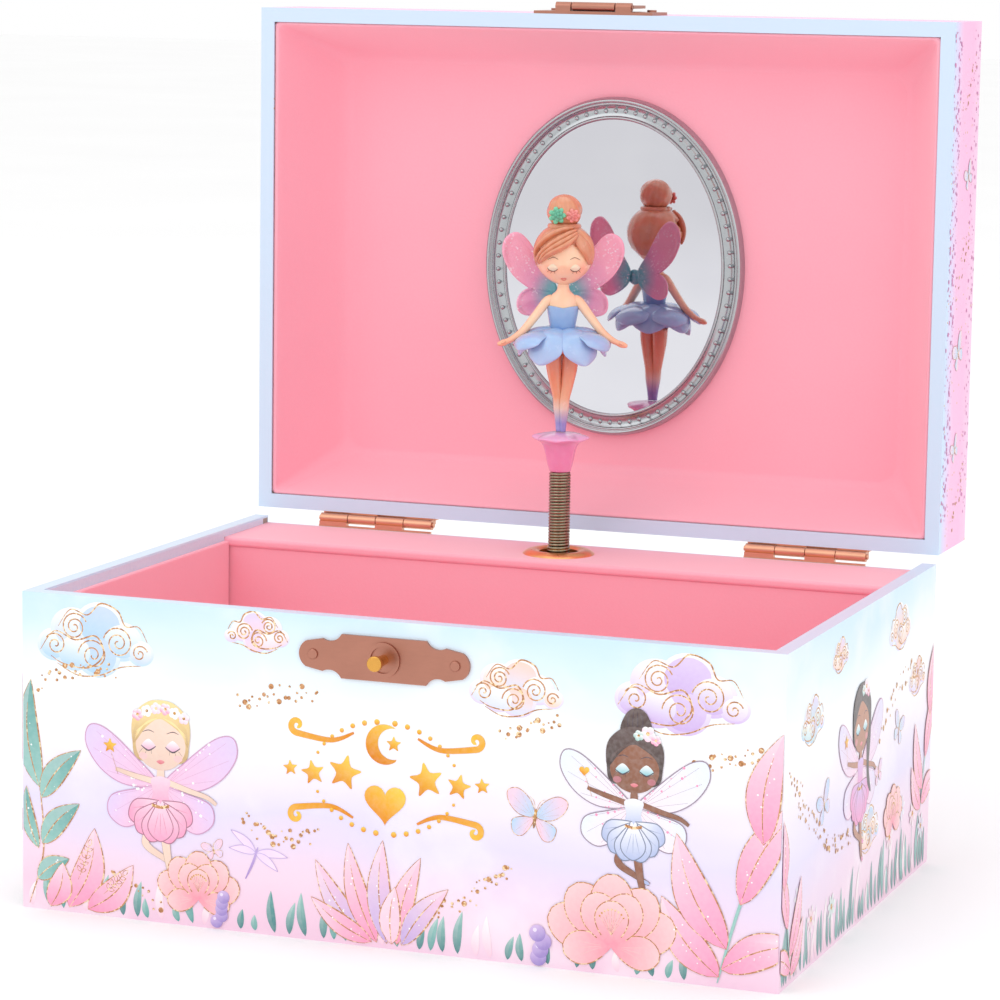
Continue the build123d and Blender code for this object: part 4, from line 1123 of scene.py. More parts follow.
        # wings behind
        shapes = [
            [(0.6, 16.0), (4.6, 20.2), (9.4, 24.0), (12.4, 24.4), (13.0, 21.4), (10.4, 17.6), (6.0, 15.4)],
            [(0.4, 15.4), (4.6, 14.8), (8.6, 13.4), (9.0, 10.4), (6.2, 8.6), (3.0, 10.4)],
        ]
        for side in (-1, 1):
            for shape in shapes:
                wing_loop = loop([(side * a, b) for a, b in shape])
                self.fill(wing_loop, wing[0], wing[1], (side * flip, 0.6))
                self.stroke(wing_loop + wing_loop[:1], 0.2, wing[2], taper=False)
                for a, b in shape[1:]:
                    self.stroke([at(side * 0.6, 15.6), at(side * a * 0.9, b * 0.9 + 1.55)], 0.13, wing[2])
                for _ in range(12):
                    a, b = self.dice.choice(shape[1:])
                    share = self.dice.uniform(0.35, 0.92)
                    spot = at(side * a * share, 15.6 + (b - 15.6) * share)
                    self.fill(disc(spot, 0.2 * s * self.dice.uniform(0.5, 1.3), points=8), wing[3])
        # legs: one straight, one crossed behind
        shade = tuple(value * 0.82 for value in skin)
        for hip, knee, ankle, toe, wide in (
            ((-0.9, 9.8), (-2.6, 6.4), (0.6, 4.2), (3.0, 3.0), 1.5),
            ((0.6, 9.8), (1.1, 5.4), (1.9, 1.6), (2.9, 0.0), 1.6),
        ):
            path = line([hip, knee, ankle, toe], 8)
            self.limb(path, wide * s, 0.55 * s, shade, skin)
            self.stroke(path[-6:], 0.62 * s, dress_low, dress_low)
        # body, neck and arms
        body = [
            (-1.6, 12.4), (-1.3, 14.6), (-1.7, 16.6), (-0.6, 17.2), (0.6, 17.2), (1.7, 16.6), (1.3, 14.6),
            (1.6, 12.4),
        ]
        self.fill(loop([(-0.55, 16.4), (-0.5, 18.6), (0.5, 18.6), (0.55, 16.4)]), shade, skin)
        self.limb(
            line([(1.3, 16.4), (4.8, 15.4), (8.0, 14.6), (9.6, 13.6)], 7), 0.95 * s, 0.5 * s, shade, skin
        )
        raised = [
            (-1.3, 16.4), (-4.6, 17.0), (-7.8, 17.8)
        ] if style != "bun" else [(-1.3, 16.4), (-5.0, 17.4), (-8.2, 18.4)]
        self.limb(line(raised, 8), 0.95 * s, 0.55 * s, shade, skin)
        self.fill(loop(body), dress_low, dress_high)
        # petal skirt
        for angle, length in (
            (-2.7, 6.0), (-0.44, 6.0), (-2.25, 6.2), (-0.9, 6.2), (-1.85, 6.4), (-1.3, 6.4), (-1.57, 6.0)
        ):
            centre = at(0, 12.8)
            way = angle if flip > 0 else math.pi - angle
            self.skirt_petal(centre, way, length * s, 4.4 * s, dress_high, dress_low)
        waist = line([(-1.5, 12.6), (0, 12.3), (1.5, 12.6)], 4)
        self.gold(waist, 0.5 * s, taper=False)
        # wand
        self.gold([at(-7.4, 17.0), at(-8.6, 20.4)], 0.2)
        self.heart(*at(-8.8, 21.2), 0.95 * s) if style == "bun" else self.star(*at(-8.8, 21.4), 1.2 * s)
        # head and hair
        self.head(at, loop, line, s, skin, shade, hair, style)

    def limb(self, path, start, end, first, second):
        """A tapering arm or leg with an inked edge."""
        left, right = [], []
        count = len(path)
        for number, point in enumerate(path):
            along = (path[min(number + 1, count - 1)] - path[max(number - 1, 0)]).normalized()
            normal = Vector((-along.y, along.x))
            half = (start + (end - start) * number / (count - 1)) / 2
            left.append(point + normal * half)
            right.append(point - normal * half)
        edge = tuple(value * 0.55 for value in first)
        self.stroke(left, 0.16, edge)
        self.stroke(right, 0.16, edge)
        self.fill_strip(left, right, second, first, "ink")

    def skirt_petal(self, centre, angle, length, width, first, second):
        """One pleat of a printed skirt, with its veins."""
        tip = polar(centre, length, angle)
        side = Vector((-math.sin(angle), math.cos(angle)))
        way = Vector((math.cos(angle), math.sin(angle)))
        loop = [Vector(centre) - side * width * 0.14]
        loop += [
            Vector(centre) + way * length * a + side * width * b
            for a, b in ((0.3, -0.36), (0.6, -0.5), (0.85, -0.36))
        ]
        loop.append(tip)
        loop += [
            Vector(centre) + way * length * a + side * width * b
            for a, b in ((0.85, 0.36), (0.6, 0.5), (0.3, 0.36))
        ]
        loop.append(Vector(centre) + side * width * 0.14)
        outline = curve_through(loop, 5)
        self.fill(outline, first, second, tuple(way))
        self.stroke(outline, 0.2, tuple(value * 0.45 for value in second), taper=False)
        for shift in (-0.16, 0.0, 0.16):
            vein = [
                Vector(centre) + way * length * a + side * width * shift * 2 * a for a in (0.25, 0.5, 0.8)
            ]
            self.stroke(vein, 0.13, tuple(value * 0.75 for value in second))

    def head(self, at, loop, line, s, skin, shade, hair, style):
        """Hair, face, fringe, closed eyes and a crown of small blooms."""
        low, high = tuple(value * 0.75 for value in hair), tuple(min(1, value * 1.5 + 0.03) for value in hair)
        if style == "bun":
            self.fill(
                loop([(-2.6, 28.6), (-1.6, 31.6), (0.2, 32.6), (2.0, 31.6), (2.8, 28.8), (0, 27.6)]),
                low,
                high,
            )
            for shift in (-1.4, -0.5, 0.4, 1.3):
                self.stroke(line([(shift * 0.6, 28.0), (shift, 30.2), (shift * 0.7, 32.0)]), 0.16, LINE)
        if style == "tail":
            tail = [
                (2.0, 27.0), (5.2, 26.0), (5.6, 20.0), (5.0, 15.0), (6.6, 10.6), (4.2, 12.6), (3.4, 18.0),
                (3.2, 23.0),
            ]
            self.fill(loop(tail), low, high)
            for shift in (0.0, 0.7, 1.4):
                path = [(3.0 + shift, 25.6), (4.2 + shift * 0.6, 20.0), (4.0 + shift * 0.5, 14.6)]
                self.stroke(line(path), 0.2, high)
        self.fill(
            loop(
                [
                    (-4.9, 22.6), (-4.8, 26.4), (-2.6, 28.8), (0, 29.4), (2.6, 28.8), (4.8, 26.4),
                    (4.9, 22.6), (3.6, 19.6), (-3.6, 19.6),
                ]
            ),
            low,
            high,
        )
        face = [
            (-4.2, 23.0), (-4.0, 20.8), (-2.4, 18.9), (0, 18.2), (2.4, 18.9), (4.0, 20.8), (4.2, 23.0),
            (2.8, 25.2), (0, 26.4), (-2.8, 25.2),
        ]
        self.fill(loop(face), shade, skin, (0.3, 1))
        fringe = [
            (-4.7, 22.2), (-4.4, 25.2), (-2.0, 27.8), (1.6, 27.8), (4.2, 25.6), (4.7, 22.2), (3.4, 24.4),
            (0.6, 26.2), (-0.6, 26.4), (-2.6, 24.8),
        ]
        self.fill(loop(fringe), low, high)
        for share in (0.15, 0.3, 0.45, 0.6, 0.75):
            self.stroke(
                line([(-0.4, 26.6), (-2.4 - share, 25.8 - share), (-4.5 + share * 0.3, 22.6 + share * 2)]),
                0.13,
                high,
            )
            self.stroke(
                line([(0.4, 26.6), (2.4 + share, 25.8 - share), (4.5 - share * 0.3, 22.6 + share * 2)]),
                0.13,
                high,
            )
        for side in (-1, 1):
            eye = side * 2.1
            lid = loop([(eye - 1.25, 21.9), (eye, 23.1), (eye + 1.25, 21.9), (eye, 21.3)], 5)
            self.fill(lid, srgb(130, 200, 210) if style != "loose" else srgb(232, 170, 200), WHITE, (0, 1))
            lash = line([(eye - 1.3, 22.0), (eye, 21.25), (eye + 1.3, 22.0)], 6)
            self.stroke(lash, 0.28, LINE)
            for step in (-1, 0, 1):
                foot = (eye + step * 0.75 + side * 0.25, 21.5)
                self.stroke([at(*foot), at(foot[0] + step * 0.35 + side * 0.3, 20.75)], 0.14, LINE)
            self.stroke(line([(eye - 1.1, 24.1), (eye, 24.5), (eye + 1.0, 24.2)], 4), 0.16, LINE)
            self.fill(
                disc(at(side * 3.0, 20.3), 0.75 * s, 0.55 * s),
                tuple((a * 2 + b) / 3 for a, b in zip(skin, PINK)),
            )
        self.stroke(line([(-0.35, 20.6), (0, 20.4), (0.35, 20.6)], 3), 0.13, shade)
        self.fill(
            loop([(-0.7, 19.6), (0, 19.9), (0.7, 19.6), (0, 19.2)], 4),
            srgb(216, 110, 120),
            srgb(238, 150, 160),
        )
        # flowers in the hair
        blooms = [(2.2, 28.4, 1.3, PINK_LIGHT), (0.6, 28.0, 0.9, TEAL_LIGHT), (3.6, 27.4, 0.9, PINK)]
        if style == "loose":
            blooms = [
                (a, 27.2 + 0.9 * math.cos(a * 0.5), 0.95, ink)
                for a, ink in zip(
                    (-4, -2.4, -0.8, 0.8, 2.4, 4), (PINK, WHITE, PINK_LIGHT, PINK, WHITE, PINK_LIGHT)
                )
            ]
        for a, b, size, ink in blooms:
            for k in range(5):
                around = polar((a, b), size * 0.55, TAU * k / 5 + a)
                self.fill(disc(at(*around), size * 0.5 * s, points=12), ink, WHITE, (0.4, 1))
            self.fill(disc(at(a, b), size * 0.26 * s, points=10), GOLD, where="glitter")


# ---------------------------------------------------------------- the printed faces
FAIR = (
    SKIN_FAIR,
    srgb(226, 186, 128),
    (srgb(246, 160, 196), srgb(253, 214, 230)),
    (srgb(248, 196, 222), srgb(226, 206, 244), srgb(206, 150, 190), WHITE),
    "loose",
)
DARK = (
    SKIN_DARK,
    srgb(70, 48, 44),
    (srgb(176, 190, 228), srgb(250, 250, 255)),
    (srgb(250, 232, 242), srgb(232, 240, 250), srgb(150, 130, 150), PINK),
    "bun",
)
TALL = (
    srgb(190, 130, 100),
    srgb(56, 40, 40),
    (srgb(240, 150, 200), srgb(214, 190, 236)),
    (srgb(250, 214, 232), srgb(226, 222, 246), srgb(200, 150, 180), WHITE),
    "tail",
)


def grass_row(art, low, high, floor, tallest, step=3.2):
    """Blades of teal and pink grass along the foot of a wall."""
    art.level(0)
    place = low
    while place < high:
        tall = art.dice.uniform(0.35, 1.0) * tallest
        first, second = art.dice.choice(
            ((TEAL_DARK, TEAL_LIGHT), (TEAL, TEAL_LIGHT), (PINK_LIGHT, WHITE), (TEAL_DARK, TEAL))
        )
        art.grass(place, floor, tall, 1.1 + tall * 0.08, art.dice.uniform(-1.5, 1.5), first, second)
        place += step * art.dice.uniform(0.6, 1.4)


def leaf_spray(art, x, y, size, flip, first=PINK, second=PINK_LIGHT):
    """Broad pink leaves on a pale stem."""
    art.level(3)
    stem = curve_through(
        [(x, y), (x + flip * size * 0.12, y + size * 0.45), (x + flip * size * 0.3, y + size * 0.95)], 8
    )
    art.stroke(stem, 0.6, TEAL_LIGHT)
    for share, reach, rise, wide in (
        (0.08, -0.34, 0.42, 0.2), (0.3, -0.3, 0.62, 0.22), (0.55, 0.36, 0.6, 0.2), (0.85, 0.1, 0.62, 0.2),
        (0.15, 0.5, 0.18, 0.2),
    ):
        foot = stem[int(share * (len(stem) - 1))]
        tip = (foot.x + flip * reach * size, foot.y + rise * size)
        art.leaf(tuple(foot), tip, wide * size, first, second, bend=0.08 * flip, speckle=8)


def ornament(art, x, y):
    """Gold foil stars, a moon, a heart and scrolls between two curved garlands."""
    art.level(1)
    for side in (-1, 1):
        for row in (1, -1):
            art.scroll(x + side * 12.4, y + row * 7.3, 5.0, side, row)
        art.star(x + side * 8.2, y + 0.4, 3.4, 0.2 * side)
        art.star(x + side * 14.6, y - 0.2, 2.4, -0.2 * side)
        art.star(x + side * 19.2, y + 0.3, 1.5, 0.1)
        for step in range(7):
            angle = math.pi / 2 - side * (0.12 + step * 0.17)
            for flip in (1, -1):
                bead = (x + 15 * math.cos(angle), y + flip * (11.8 * math.sin(angle) - 1.2))
                art.fill(
                    disc(bead, 0.55 - 0.04 * step, points=14),
                    srgb(230, 142, 30),
                    srgb(252, 214, 90),
                    where="foil",
                )
    art.moon(x - 0.2, y + 6.4, 3.8)
    art.star(x + 1.6, y + 6.6, 1.5)
    art.heart(x, y - 4.6, 4.4)


def base_limits(axis):
    """The edges of a base wall in millimetres, for walls along one axis."""
    return (
        case_low[axis] / MM + 0.2, case_high[axis] / MM - 0.2, case_low.z / MM + 0.2, case_high.z / MM - 0.2
    )


def front_art():
    """The front wall: two figures beside the ornament, clouds above, and blooms, leaves and grass below."""
    art = Art(
        "front_print", "base", "printed_paper", (0, case_low.y, 0), (1, 0, 0), (0, 0, 1), base_limits(0),
        seed=4,
    )
    lilac_puff = (srgb(206, 176, 232), srgb(226, 206, 242), srgb(216, 190, 236))
    blue_puff = (BLUE_WASH, srgb(204, 220, 246), srgb(196, 222, 248))
    art.cloud(-60.5, 53.2, 24, *blue_puff)
    art.cloud(-26.8, 57.6, 13, srgb(250, 214, 226), LILAC, LILAC, flip=-1)
    art.cloud(24.9, 51.2, 18, srgb(220, 226, 248), PEACH, LILAC)
    art.cloud(56.6, 52.6, 25, *lilac_puff)
    for start, end, count, spread, arch in (
        ((-73, 44), (-56, 48), 26, 1.4, 1.5), ((-31, 44), (-14, 47), 26, 1.6, 1.0),
        ((-30, 22), (-14, 20), 30, 1.8, -2.0),
        ((8, 8), (24, 19), 34, 1.8, -2.0), ((22, 42), (34, 46), 20, 1.4, 1.0),
        ((58, 39), (74, 43), 30, 1.4, 1.2), ((-58, 8), (-46, 3), 16, 1.5, 0),
    ):
        art.dots(start, end, count, spread, 0.5, arch)
    grass_row(art, -74, 30, 0.6, 8.5, 3.4)
    # teal leaves at the left edge
    art.level(1)
    art.gold(curve_through([(-74.5, 1), (-71.5, 12), (-72.5, 26)], 8), 0.3)
    for foot, tip, wide in (
        ((-72.4, 24), (-74.2, 45), 5.0), ((-72.0, 22), (-63.5, 32.0), 4.6), ((-71.8, 13), (-63.8, 21.5), 4.6),
        ((-72.6, 12), (-75.2, 24), 3.0), ((-72.8, 6), (-66.0, 10.5), 4.0),
    ):
        art.leaf(foot, tip, wide, TEAL_LIGHT, TEAL, bend=0.08, speckle=3)
    for foot, tip, wide, twig in (
        ((-66, 1.0), (-60.6, 17.0), 6.4, True), ((-62, 1.0), (-52.4, 10.6), 5.6, True),
        ((-70, 0.8), (-67.4, 9.6), 5.0, False),
    ):
        art.leaf(foot, tip, wide, PINK, PINK_LIGHT, bend=-0.1)
        if twig:
            middle = Vector(foot).lerp(Vector(tip), 0.35)
            art.sprig(tuple(middle), tuple(Vector(foot).lerp(Vector(tip), 0.78)), 1.6)
    art.flower(-38.6, 8.2, 9.0)
    art.berries(-34.0, 1.6, 1.6, 5)
    # pink and lilac leaf cluster near the middle
    art.level(1)
    for foot, tip, wide, first in (
        ((-4, 1.0), (-14.6, 15.6), 4.6, LILAC_DEEP), ((-2, 1.0), (-8.0, 19.4), 4.6, PINK),
        ((0, 1.0), (-1.0, 20.6), 4.8, LILAC_DEEP),
        ((2, 1.0), (6.6, 18.0), 4.6, PINK), ((3, 1.0), (12.2, 12.6), 4.4, LILAC_DEEP),
        ((1, 1.0), (1.6, 12.0), 4.2, PINK_LIGHT),
        ((-3, 1.0), (-15.4, 8.4), 4.0, PINK),
    ):
        art.leaf(foot, tip, wide, first, PINK_LIGHT, bend=0.06, speckle=5)
    art.sprite(-46.6, 7.6, 40.0, 1, *FAIR)
    art.dragonfly(-27.0, 15.0, 6.2, -0.35)
    art.butterfly(-35.5, 15.2, 2.4, 0.3, LILAC, PINK_LIGHT)
    art.butterfly(29.0, 27.8, 6.2, -0.12)
    art.sprite(48.0, 14.4, 36.0, 1, *DARK)
    art.flower(44.2, 9.4, 13.0)
    art.berries(31.6, 1.8, 2.0, 4)
    leaf_spray(art, 64.5, 0.8, 33, 1)
    grass_row(art, 32, 60, 0.6, 6.0, 4.0)
    ornament(art, -0.6, 32.4)
    art.finish()


def side_art(name, x, across, seed, mirror):
    """One end wall: a sprite between clouds, butterflies, tall buds and grass."""
    art = Art(name, "base", "printed_paper", (x, 0, 0), (0, across, 0), (0, 0, 1), base_limits(1), seed=seed)
    f = mirror
    art.cloud(-36 * f, 46.5, 15, srgb(196, 226, 232), LILAC, BLUE_WASH, flip=f)
    art.cloud(-18 * f, 55.5, 11, PEACH, LILAC, LILAC, flip=f)
    art.cloud(26 * f, 53.5, 16, PEACH, srgb(220, 226, 248), LILAC, flip=-f)
    art.cloud(41 * f, 41.0, 13, LILAC, PEACH, LILAC, flip=f)
    art.cloud(6 * f, 17.0, 15, PEACH, BLUE_WASH, LILAC, flip=f)
    for start, end, count, spread, arch in (
        ((-44 * f, 35), (-6 * f, 18), 60, 2.0, -4.0), ((12 * f, 34), (44 * f, 44), 40, 2.0, 3.0),
        ((-50 * f, 41), (-42 * f, 30), 16, 1.4, 0),
    ):
        art.dots(start, end, count, spread, 0.5, arch)
    grass_row(art, -52, 52, 0.6, 12.5, 2.0)
    for k, (px, tall) in enumerate(((-43, 15), (-34, 9), (-20, 8), (22, 12), (31, 16), (40, 13), (47, 9))):
        ink = (LILAC_DEEP, PINK, TEAL_LIGHT, PINK, LILAC_DEEP, PINK, PLUM)[k]
        art.stroke([Vector((px * f, 0.8)), Vector((px * f, tall))], 0.5, TEAL, TEAL_LIGHT)
        for turn in range(7):
            art.petal((px * f, tall), 0.3 + turn * TAU / 7, 2.6, 1.5, ink, WHITE, outline=False)
        art.fill(disc((px * f, tall), 0.6, points=10), GOLD, where="glitter")
    art.flower(24 * f, 17.0, 7.4)
    leaf_spray(art, 46 * f, 12.0, 24, f)
    leaf_spray(art, -47 * f, 1.0, 22, -f)
    art.sprite(-2 * f, 12.0, 40.0, f, *TALL)
    art.butterfly(-27 * f, 29.0, 4.6, 0.4, LILAC, BLUE_WASH)
    art.butterfly(27 * f, 33.0, 4.2, -0.4, srgb(200, 226, 240), LILAC)
    art.butterfly(12 * f, 27.0, 3.0, 0.2, PINK_LIGHT, LILAC)
    art.finish()


def back_art():
    """The back wall: low clouds, blooms, leaf sprays and butterflies."""
    art = Art(
        "back_print", "base", "printed_paper", (0, case_high.y, 0), (-1, 0, 0), (0, 0, 1), base_limits(0),
        seed=31,
    )
    art.cloud(-52, 34, 22, BLUE_WASH, LILAC, LILAC)
    art.cloud(20, 33, 18, LILAC, PEACH, LILAC, flip=-1)
    art.cloud(58, 36, 15, PEACH, BLUE_WASH, LILAC)
    grass_row(art, -74, 74, 0.6, 9.0, 2.8)
    for px, size in ((-62, 8.0), (-14, 7.0), (64, 8.0)):
        art.flower(px, 8, size)
    leaf_spray(art, -30, 0.8, 20, 1, LILAC_DEEP, PINK_LIGHT)
    leaf_spray(art, 26, 0.8, 20, -1)
    art.butterfly(-18, 27, 5.0, 0.2)
    art.butterfly(44, 22, 4.4, -0.3, LILAC, PINK_LIGHT)
    art.dots((-40, 22), (0, 30), 50, 2.4, 0.5, 3.0)
    art.dots((30, 24), (70, 30), 50, 2.4, 0.5, -2.0)
    art.finish()


def lid_art():
    """The lid: butterflies and gold and rose dots on its ends, and the full scene on its top."""
    heights = (lid_low.z / MM + 0.2, lid_high.z / MM - 0.2)
    wide = (lid_low.x / MM + 0.2, lid_high.x / MM - 0.2)
    top = Art(
        "lid_top_print", "lid", "printed_paper", (
            0, lid_high.y, 0
        ), (-1, 0, 0), (0, 0, 1), wide + heights, seed=12
    )
    middle = (lid_low.z + lid_high.z) / 2 / MM
    base = lid_low.z / MM
    top.cloud(-50, middle + 36, 26, BLUE_WASH, LILAC, LILAC)
    top.cloud(46, middle + 34, 26, LILAC, PEACH, LILAC, flip=-1)
    top.cloud(-2, middle + 43, 18, PEACH, BLUE_WASH, LILAC)
    top.cloud(58, middle + 4, 18, BLUE_WASH, PEACH, LILAC)
    top.cloud(-60, middle - 2, 18, PEACH, LILAC, LILAC)
    grass_row(top, -74, 74, base + 0.8, 16, 2.6)
    leaf_spray(top, -58, base + 1, 34, -1)
    leaf_spray(top, 58, base + 1, 34, 1, LILAC_DEEP, PINK_LIGHT)
    top.flower(-32, base + 12, 10)
    top.flower(30, base + 11, 10)
    top.sprite(-32, base + 28, 42, 1, *FAIR)
    top.sprite(34, base + 27, 42, -1, *DARK)
    ornament(top, 0, middle + 4)
    for px, pz, size in ((0, -28, 6), (-14, 24, 4), (16, 26, 4.4), (62, -16, 4.4), (-58, -20, 4.6)):
        top.butterfly(px, middle + pz, size, px * 0.02)
    top.dots((-70, middle + 18), (-40, middle + 26), 50, 2.4)
    top.dots((40, middle + 18), (72, middle + 24), 50, 2.4)
    top.dots((-14, middle - 16), (20, middle - 18), 40, 2.0)
    top.finish()
    for name, x, across, seed in (
        ("lid_right_print", lid_high.x, 1, 15), ("lid_left_print", lid_low.x, -1, 17)
    ):
        deep = sorted((across * (lid_low.y / MM + 0.2), across * (lid_high.y / MM - 0.2)))
        end = Art(
            name, "lid", "printed_paper", (x, 0, 0), (0, across, 0), (0, 0, 1), (*deep, *heights), seed=seed
        )
        for y, z, size in ((66.5, 104.0, 4.4), (70.5, 140.0, 3.4), (66.0, 84.0, 3.2)):
            end.butterfly(across * y, z, size, 0.5 * across)
        for y, z in ((70, 158), (68, 122), (71, 74)):
            end.dots((across * (y - 6), z - 6), (across * (y + 5), z + 6), 24, 2.0, 0.35)
        for low in range(70, 170, 20):
            end.dots((across * 59.0, low), (across * 59.0, low + 20), 46, 3.0, 0.45, ink=ROSE_DOT)
            end.dots((across * 75.0, low), (across * 75.0, low + 20), 26, 2.6, 0.4, ink=ROSE_DOT)
        end.finish()


front_art()
side_art("right_print", case_high.x, 1, 8, 1)
side_art("left_print", case_low.x, -1, 21, 1)
back_art()
lid_art()



# ---------------------------------------------------------------- doll
DOLL_FACING = math.radians(20.5)
spindle_low, spindle_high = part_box("spindle")
doll_x = (spindle_low.x + spindle_high.x) / 2
doll_y = (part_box("doll_cup")[0].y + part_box("doll_cup")[1].y) / 2
cup_low, cup_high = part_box("doll_cup")
HAIR = srgb(206, 124, 86)
HAIR_LIGHT = srgb(238, 170, 128)
DOLL_SKIN = srgb(253, 206, 170)
DOLL_WARM = srgb(240, 146, 106)
DOLL_BLUE = srgb(156, 190, 234)


def on_doll(x, y, z):
    """A place in millimetres from the doll's axis and the cup's rim; the doll faces -Y before its turn."""
    return Vector(
        (
            doll_x + (x * math.cos(DOLL_FACING) - y * math.sin(DOLL_FACING)) * MM,
            doll_y + (x * math.sin(DOLL_FACING) + y * math.cos(DOLL_FACING)) * MM,
            cup_high.z + z * MM,
        )
    )


def painted(name, roughness=0.26, glitter=0.0, **shader):
    """Painted glossy plastic: colour from the tint layer, soft sprayed changes of tone and a thin lacquer."""
    paint = Paint(name, Coat_Weight=0.8, Coat_Roughness=0.08, Subsurface_Weight=0.08, **shader)
    paint.set("Subsurface Scale", 0.0015)
    tint = paint.attribute("tint")
    spray = paint.noise(0.0016, 3.0)
    colour = paint.mix((spray - 0.4) * 0.16, tint, WHITE)
    if glitter:
        flake = paint.cells(0.00028, "Color")
        bright = paint.add("ShaderNodeSeparateColor", inputs={0: flake}, output=0)
        patch = paint.noise(0.003, 2.0).smooth(0.4, 0.65)
        shine = (bright > 0.9) * patch
        colour = paint.mix(shine * glitter, colour, srgb(255, 240, 248))
        paint.set("Metallic", shine * 0.6)
        paint.set("Roughness", roughness + bright * 0.3)
        paint.bump(bright, 0.00008, 0.8)
    else:
        paint.set("Roughness", roughness + (spray - 0.5) * 0.08)
        paint.bump(spray, 0.00002, 0.25)
    paint.set("Base Color", colour)
    return paint.material


FIGURE = painted("painted_plastic")
WING_PAINT = painted("glitter_wing", 0.34, glitter=0.7)
CUP_PAINT = painted("cup_plastic", 0.4)


def tint_by(mesh, rule):
    """Writes the tint layer of a bmesh from a rule that turns a place into a colour."""
    layer = mesh.loops.layers.color.new("tint")
    for face in mesh.faces:
        for corner in face.loops:
            colour = rule(corner.vert.co)
            corner[layer] = tint_value([max(0.0, value) for value in colour])
    return mesh


def blend_colour(first, second, share):
    """A colour between two others, held at its ends."""
    share = min(1.0, max(0.0, share))
    return tuple(a + (b - a) * share for a, b in zip(first, second))


def doll_height_of(place):
    """Millimetres above the cup."""
    return (place.z - cup_high.z) / MM


def shell(
    name, rows, rule, slot="doll_plastic", closed=True, caps=True, levels=1, material=None, replaced=(),
    thick=0.0,
):
    """A painted body of the doll from rows of points."""
    mesh = grid_mesh(rows, closed=closed, caps=caps)
    tint_by(mesh, rule)
    made = piece(name, mesh, "doll", slot, *replaced)
    if thick:
        add_modifier(made, "SOLIDIFY", thickness=thick * MM, offset=0.0)
    if levels:
        add_modifier(made, "SUBSURF", levels=levels, render_levels=levels)
    return finish_with(made, material or FIGURE)


def doll_ring(z, rx, ry, x=0.0, y=0.0, count=28, wave=0.0, petals=0, phase=0.0, sag=0.0):
    """A closed ring about the doll, with an optional petal wave in its radius and height."""
    ring = []
    for step in range(count):
        angle = TAU * step / count
        swell = 1 + wave * math.cos(petals * angle + phase) if petals else 1
        drop = sag * math.cos(petals * angle + phase) if petals else 0
        ring.append(on_doll(x + rx * swell * math.cos(angle), y + ry * swell * math.sin(angle), z + drop))
    return ring


def doll_limb(name, joints, rule, count=12, steps=5, flatten=1.0):
    """A smooth tapering limb through (x, y, z, radius) points."""
    path = curve_through([Vector((x, y, z, r)) for x, y, z, r in joints], steps)
    places = [on_doll(p[0], p[1], p[2]) for p in path]
    radii = [p[3] * MM for p in path]
    mesh = tube_mesh(places, radii, count, flatten)
    tint_by(mesh, rule)
    return finish_with(piece(name, mesh, "doll", "doll_plastic"), FIGURE)


def skin_tone(place):
    height = doll_height_of(place)
    return blend_colour(DOLL_WARM, DOLL_SKIN, (height - 14) / 8)


def doll_legs():
    """Two legs side by side, with painted shoes."""
    def leg_tone(place):
        height = doll_height_of(place)
        shoe = blend_colour(srgb(150, 140, 206), srgb(236, 212, 196), (height - 1.2) / 3.2)
        return blend_colour(
            shoe, blend_colour(srgb(240, 170, 130), DOLL_WARM, (height - 7) / 6), (height - 3.8) / 2.6
        )

    for side, front in ((-1, 0.35), (1, -0.45)):
        doll_limb(
            f"doll_leg_{'left' if side < 0 else 'right'}",
            [
                (side * 1.75, 0, 15.6, 1.75), (side * 1.6, front * 0.3, 12.6, 1.62),
                (side * 1.15, front * 0.7, 9.0, 1.26),
                (side * 0.72, front, 6.4, 1.05), (side * 0.62, front, 4.2, 0.98),
                (side * 0.5, front * 0.6, 1.6, 0.74),
                (side * 0.4, front * 0.4, -0.6, 0.62),
            ],
            leg_tone,
            16,
        )


def doll_body():
    """Neck, shoulders and chest, then the bodice with its folded top edge."""
    torso = [
        (15.0, 2.2, 1.8), (19.4, 2.5, 1.95), (20.4, 2.45, 1.9), (22.6, 2.75, 2.1), (24.6, 3.0, 2.15),
        (26.2, 3.05, 2.0), (27.2, 2.95, 1.75), (27.9, 2.3, 1.5), (28.5, 1.45, 1.25), (29.2, 1.15, 1.1),
        (31.4, 1.2, 1.15),
    ]
    shell("doll_torso", [doll_ring(z, rx, ry) for z, rx, ry in torso], skin_tone)
    bodice = [
        (19.8, 2.62, 2.1), (20.6, 2.55, 2.05), (22.6, 2.9, 2.28), (24.2, 3.2, 2.42), (25.2, 3.26, 2.42),
        (25.5, 3.18, 2.34), (25.3, 3.02, 2.2),
    ]
    rows = []
    for number, (z, rx, ry) in enumerate(bodice):
        dip = 0.28 if number >= 4 else 0.0
        ring = []
        for step in range(32):
            angle = TAU * step / 32
            front = max(0.0, -math.sin(angle))
            sweetheart = dip * (abs(math.cos(angle)) * 2.2 * front - front * 0.9)
            ring.append(on_doll(rx * math.cos(angle), ry * math.sin(angle), z + sweetheart))
        rows.append(ring)
    shell(
        "doll_bodice",
        rows,
        lambda p: blend_colour(srgb(112, 152, 208), srgb(148, 182, 226), (doll_height_of(p) - 20) / 6),
        caps=False,
    )
    band = [
        on_doll(
            2.68 * math.cos(TAU * k / 32),
            2.16 * math.sin(TAU * k / 32),
            20.3 - 0.25 * max(0, -math.sin(TAU * k / 32)),
        )
        for k in range(33)
    ]
    mesh = tint_by(tube_mesh(band, 0.24 * MM, 8), lambda p: srgb(104, 142, 200))
    finish_with(piece("doll_waist_band", mesh, "doll", "doll_plastic"), FIGURE)


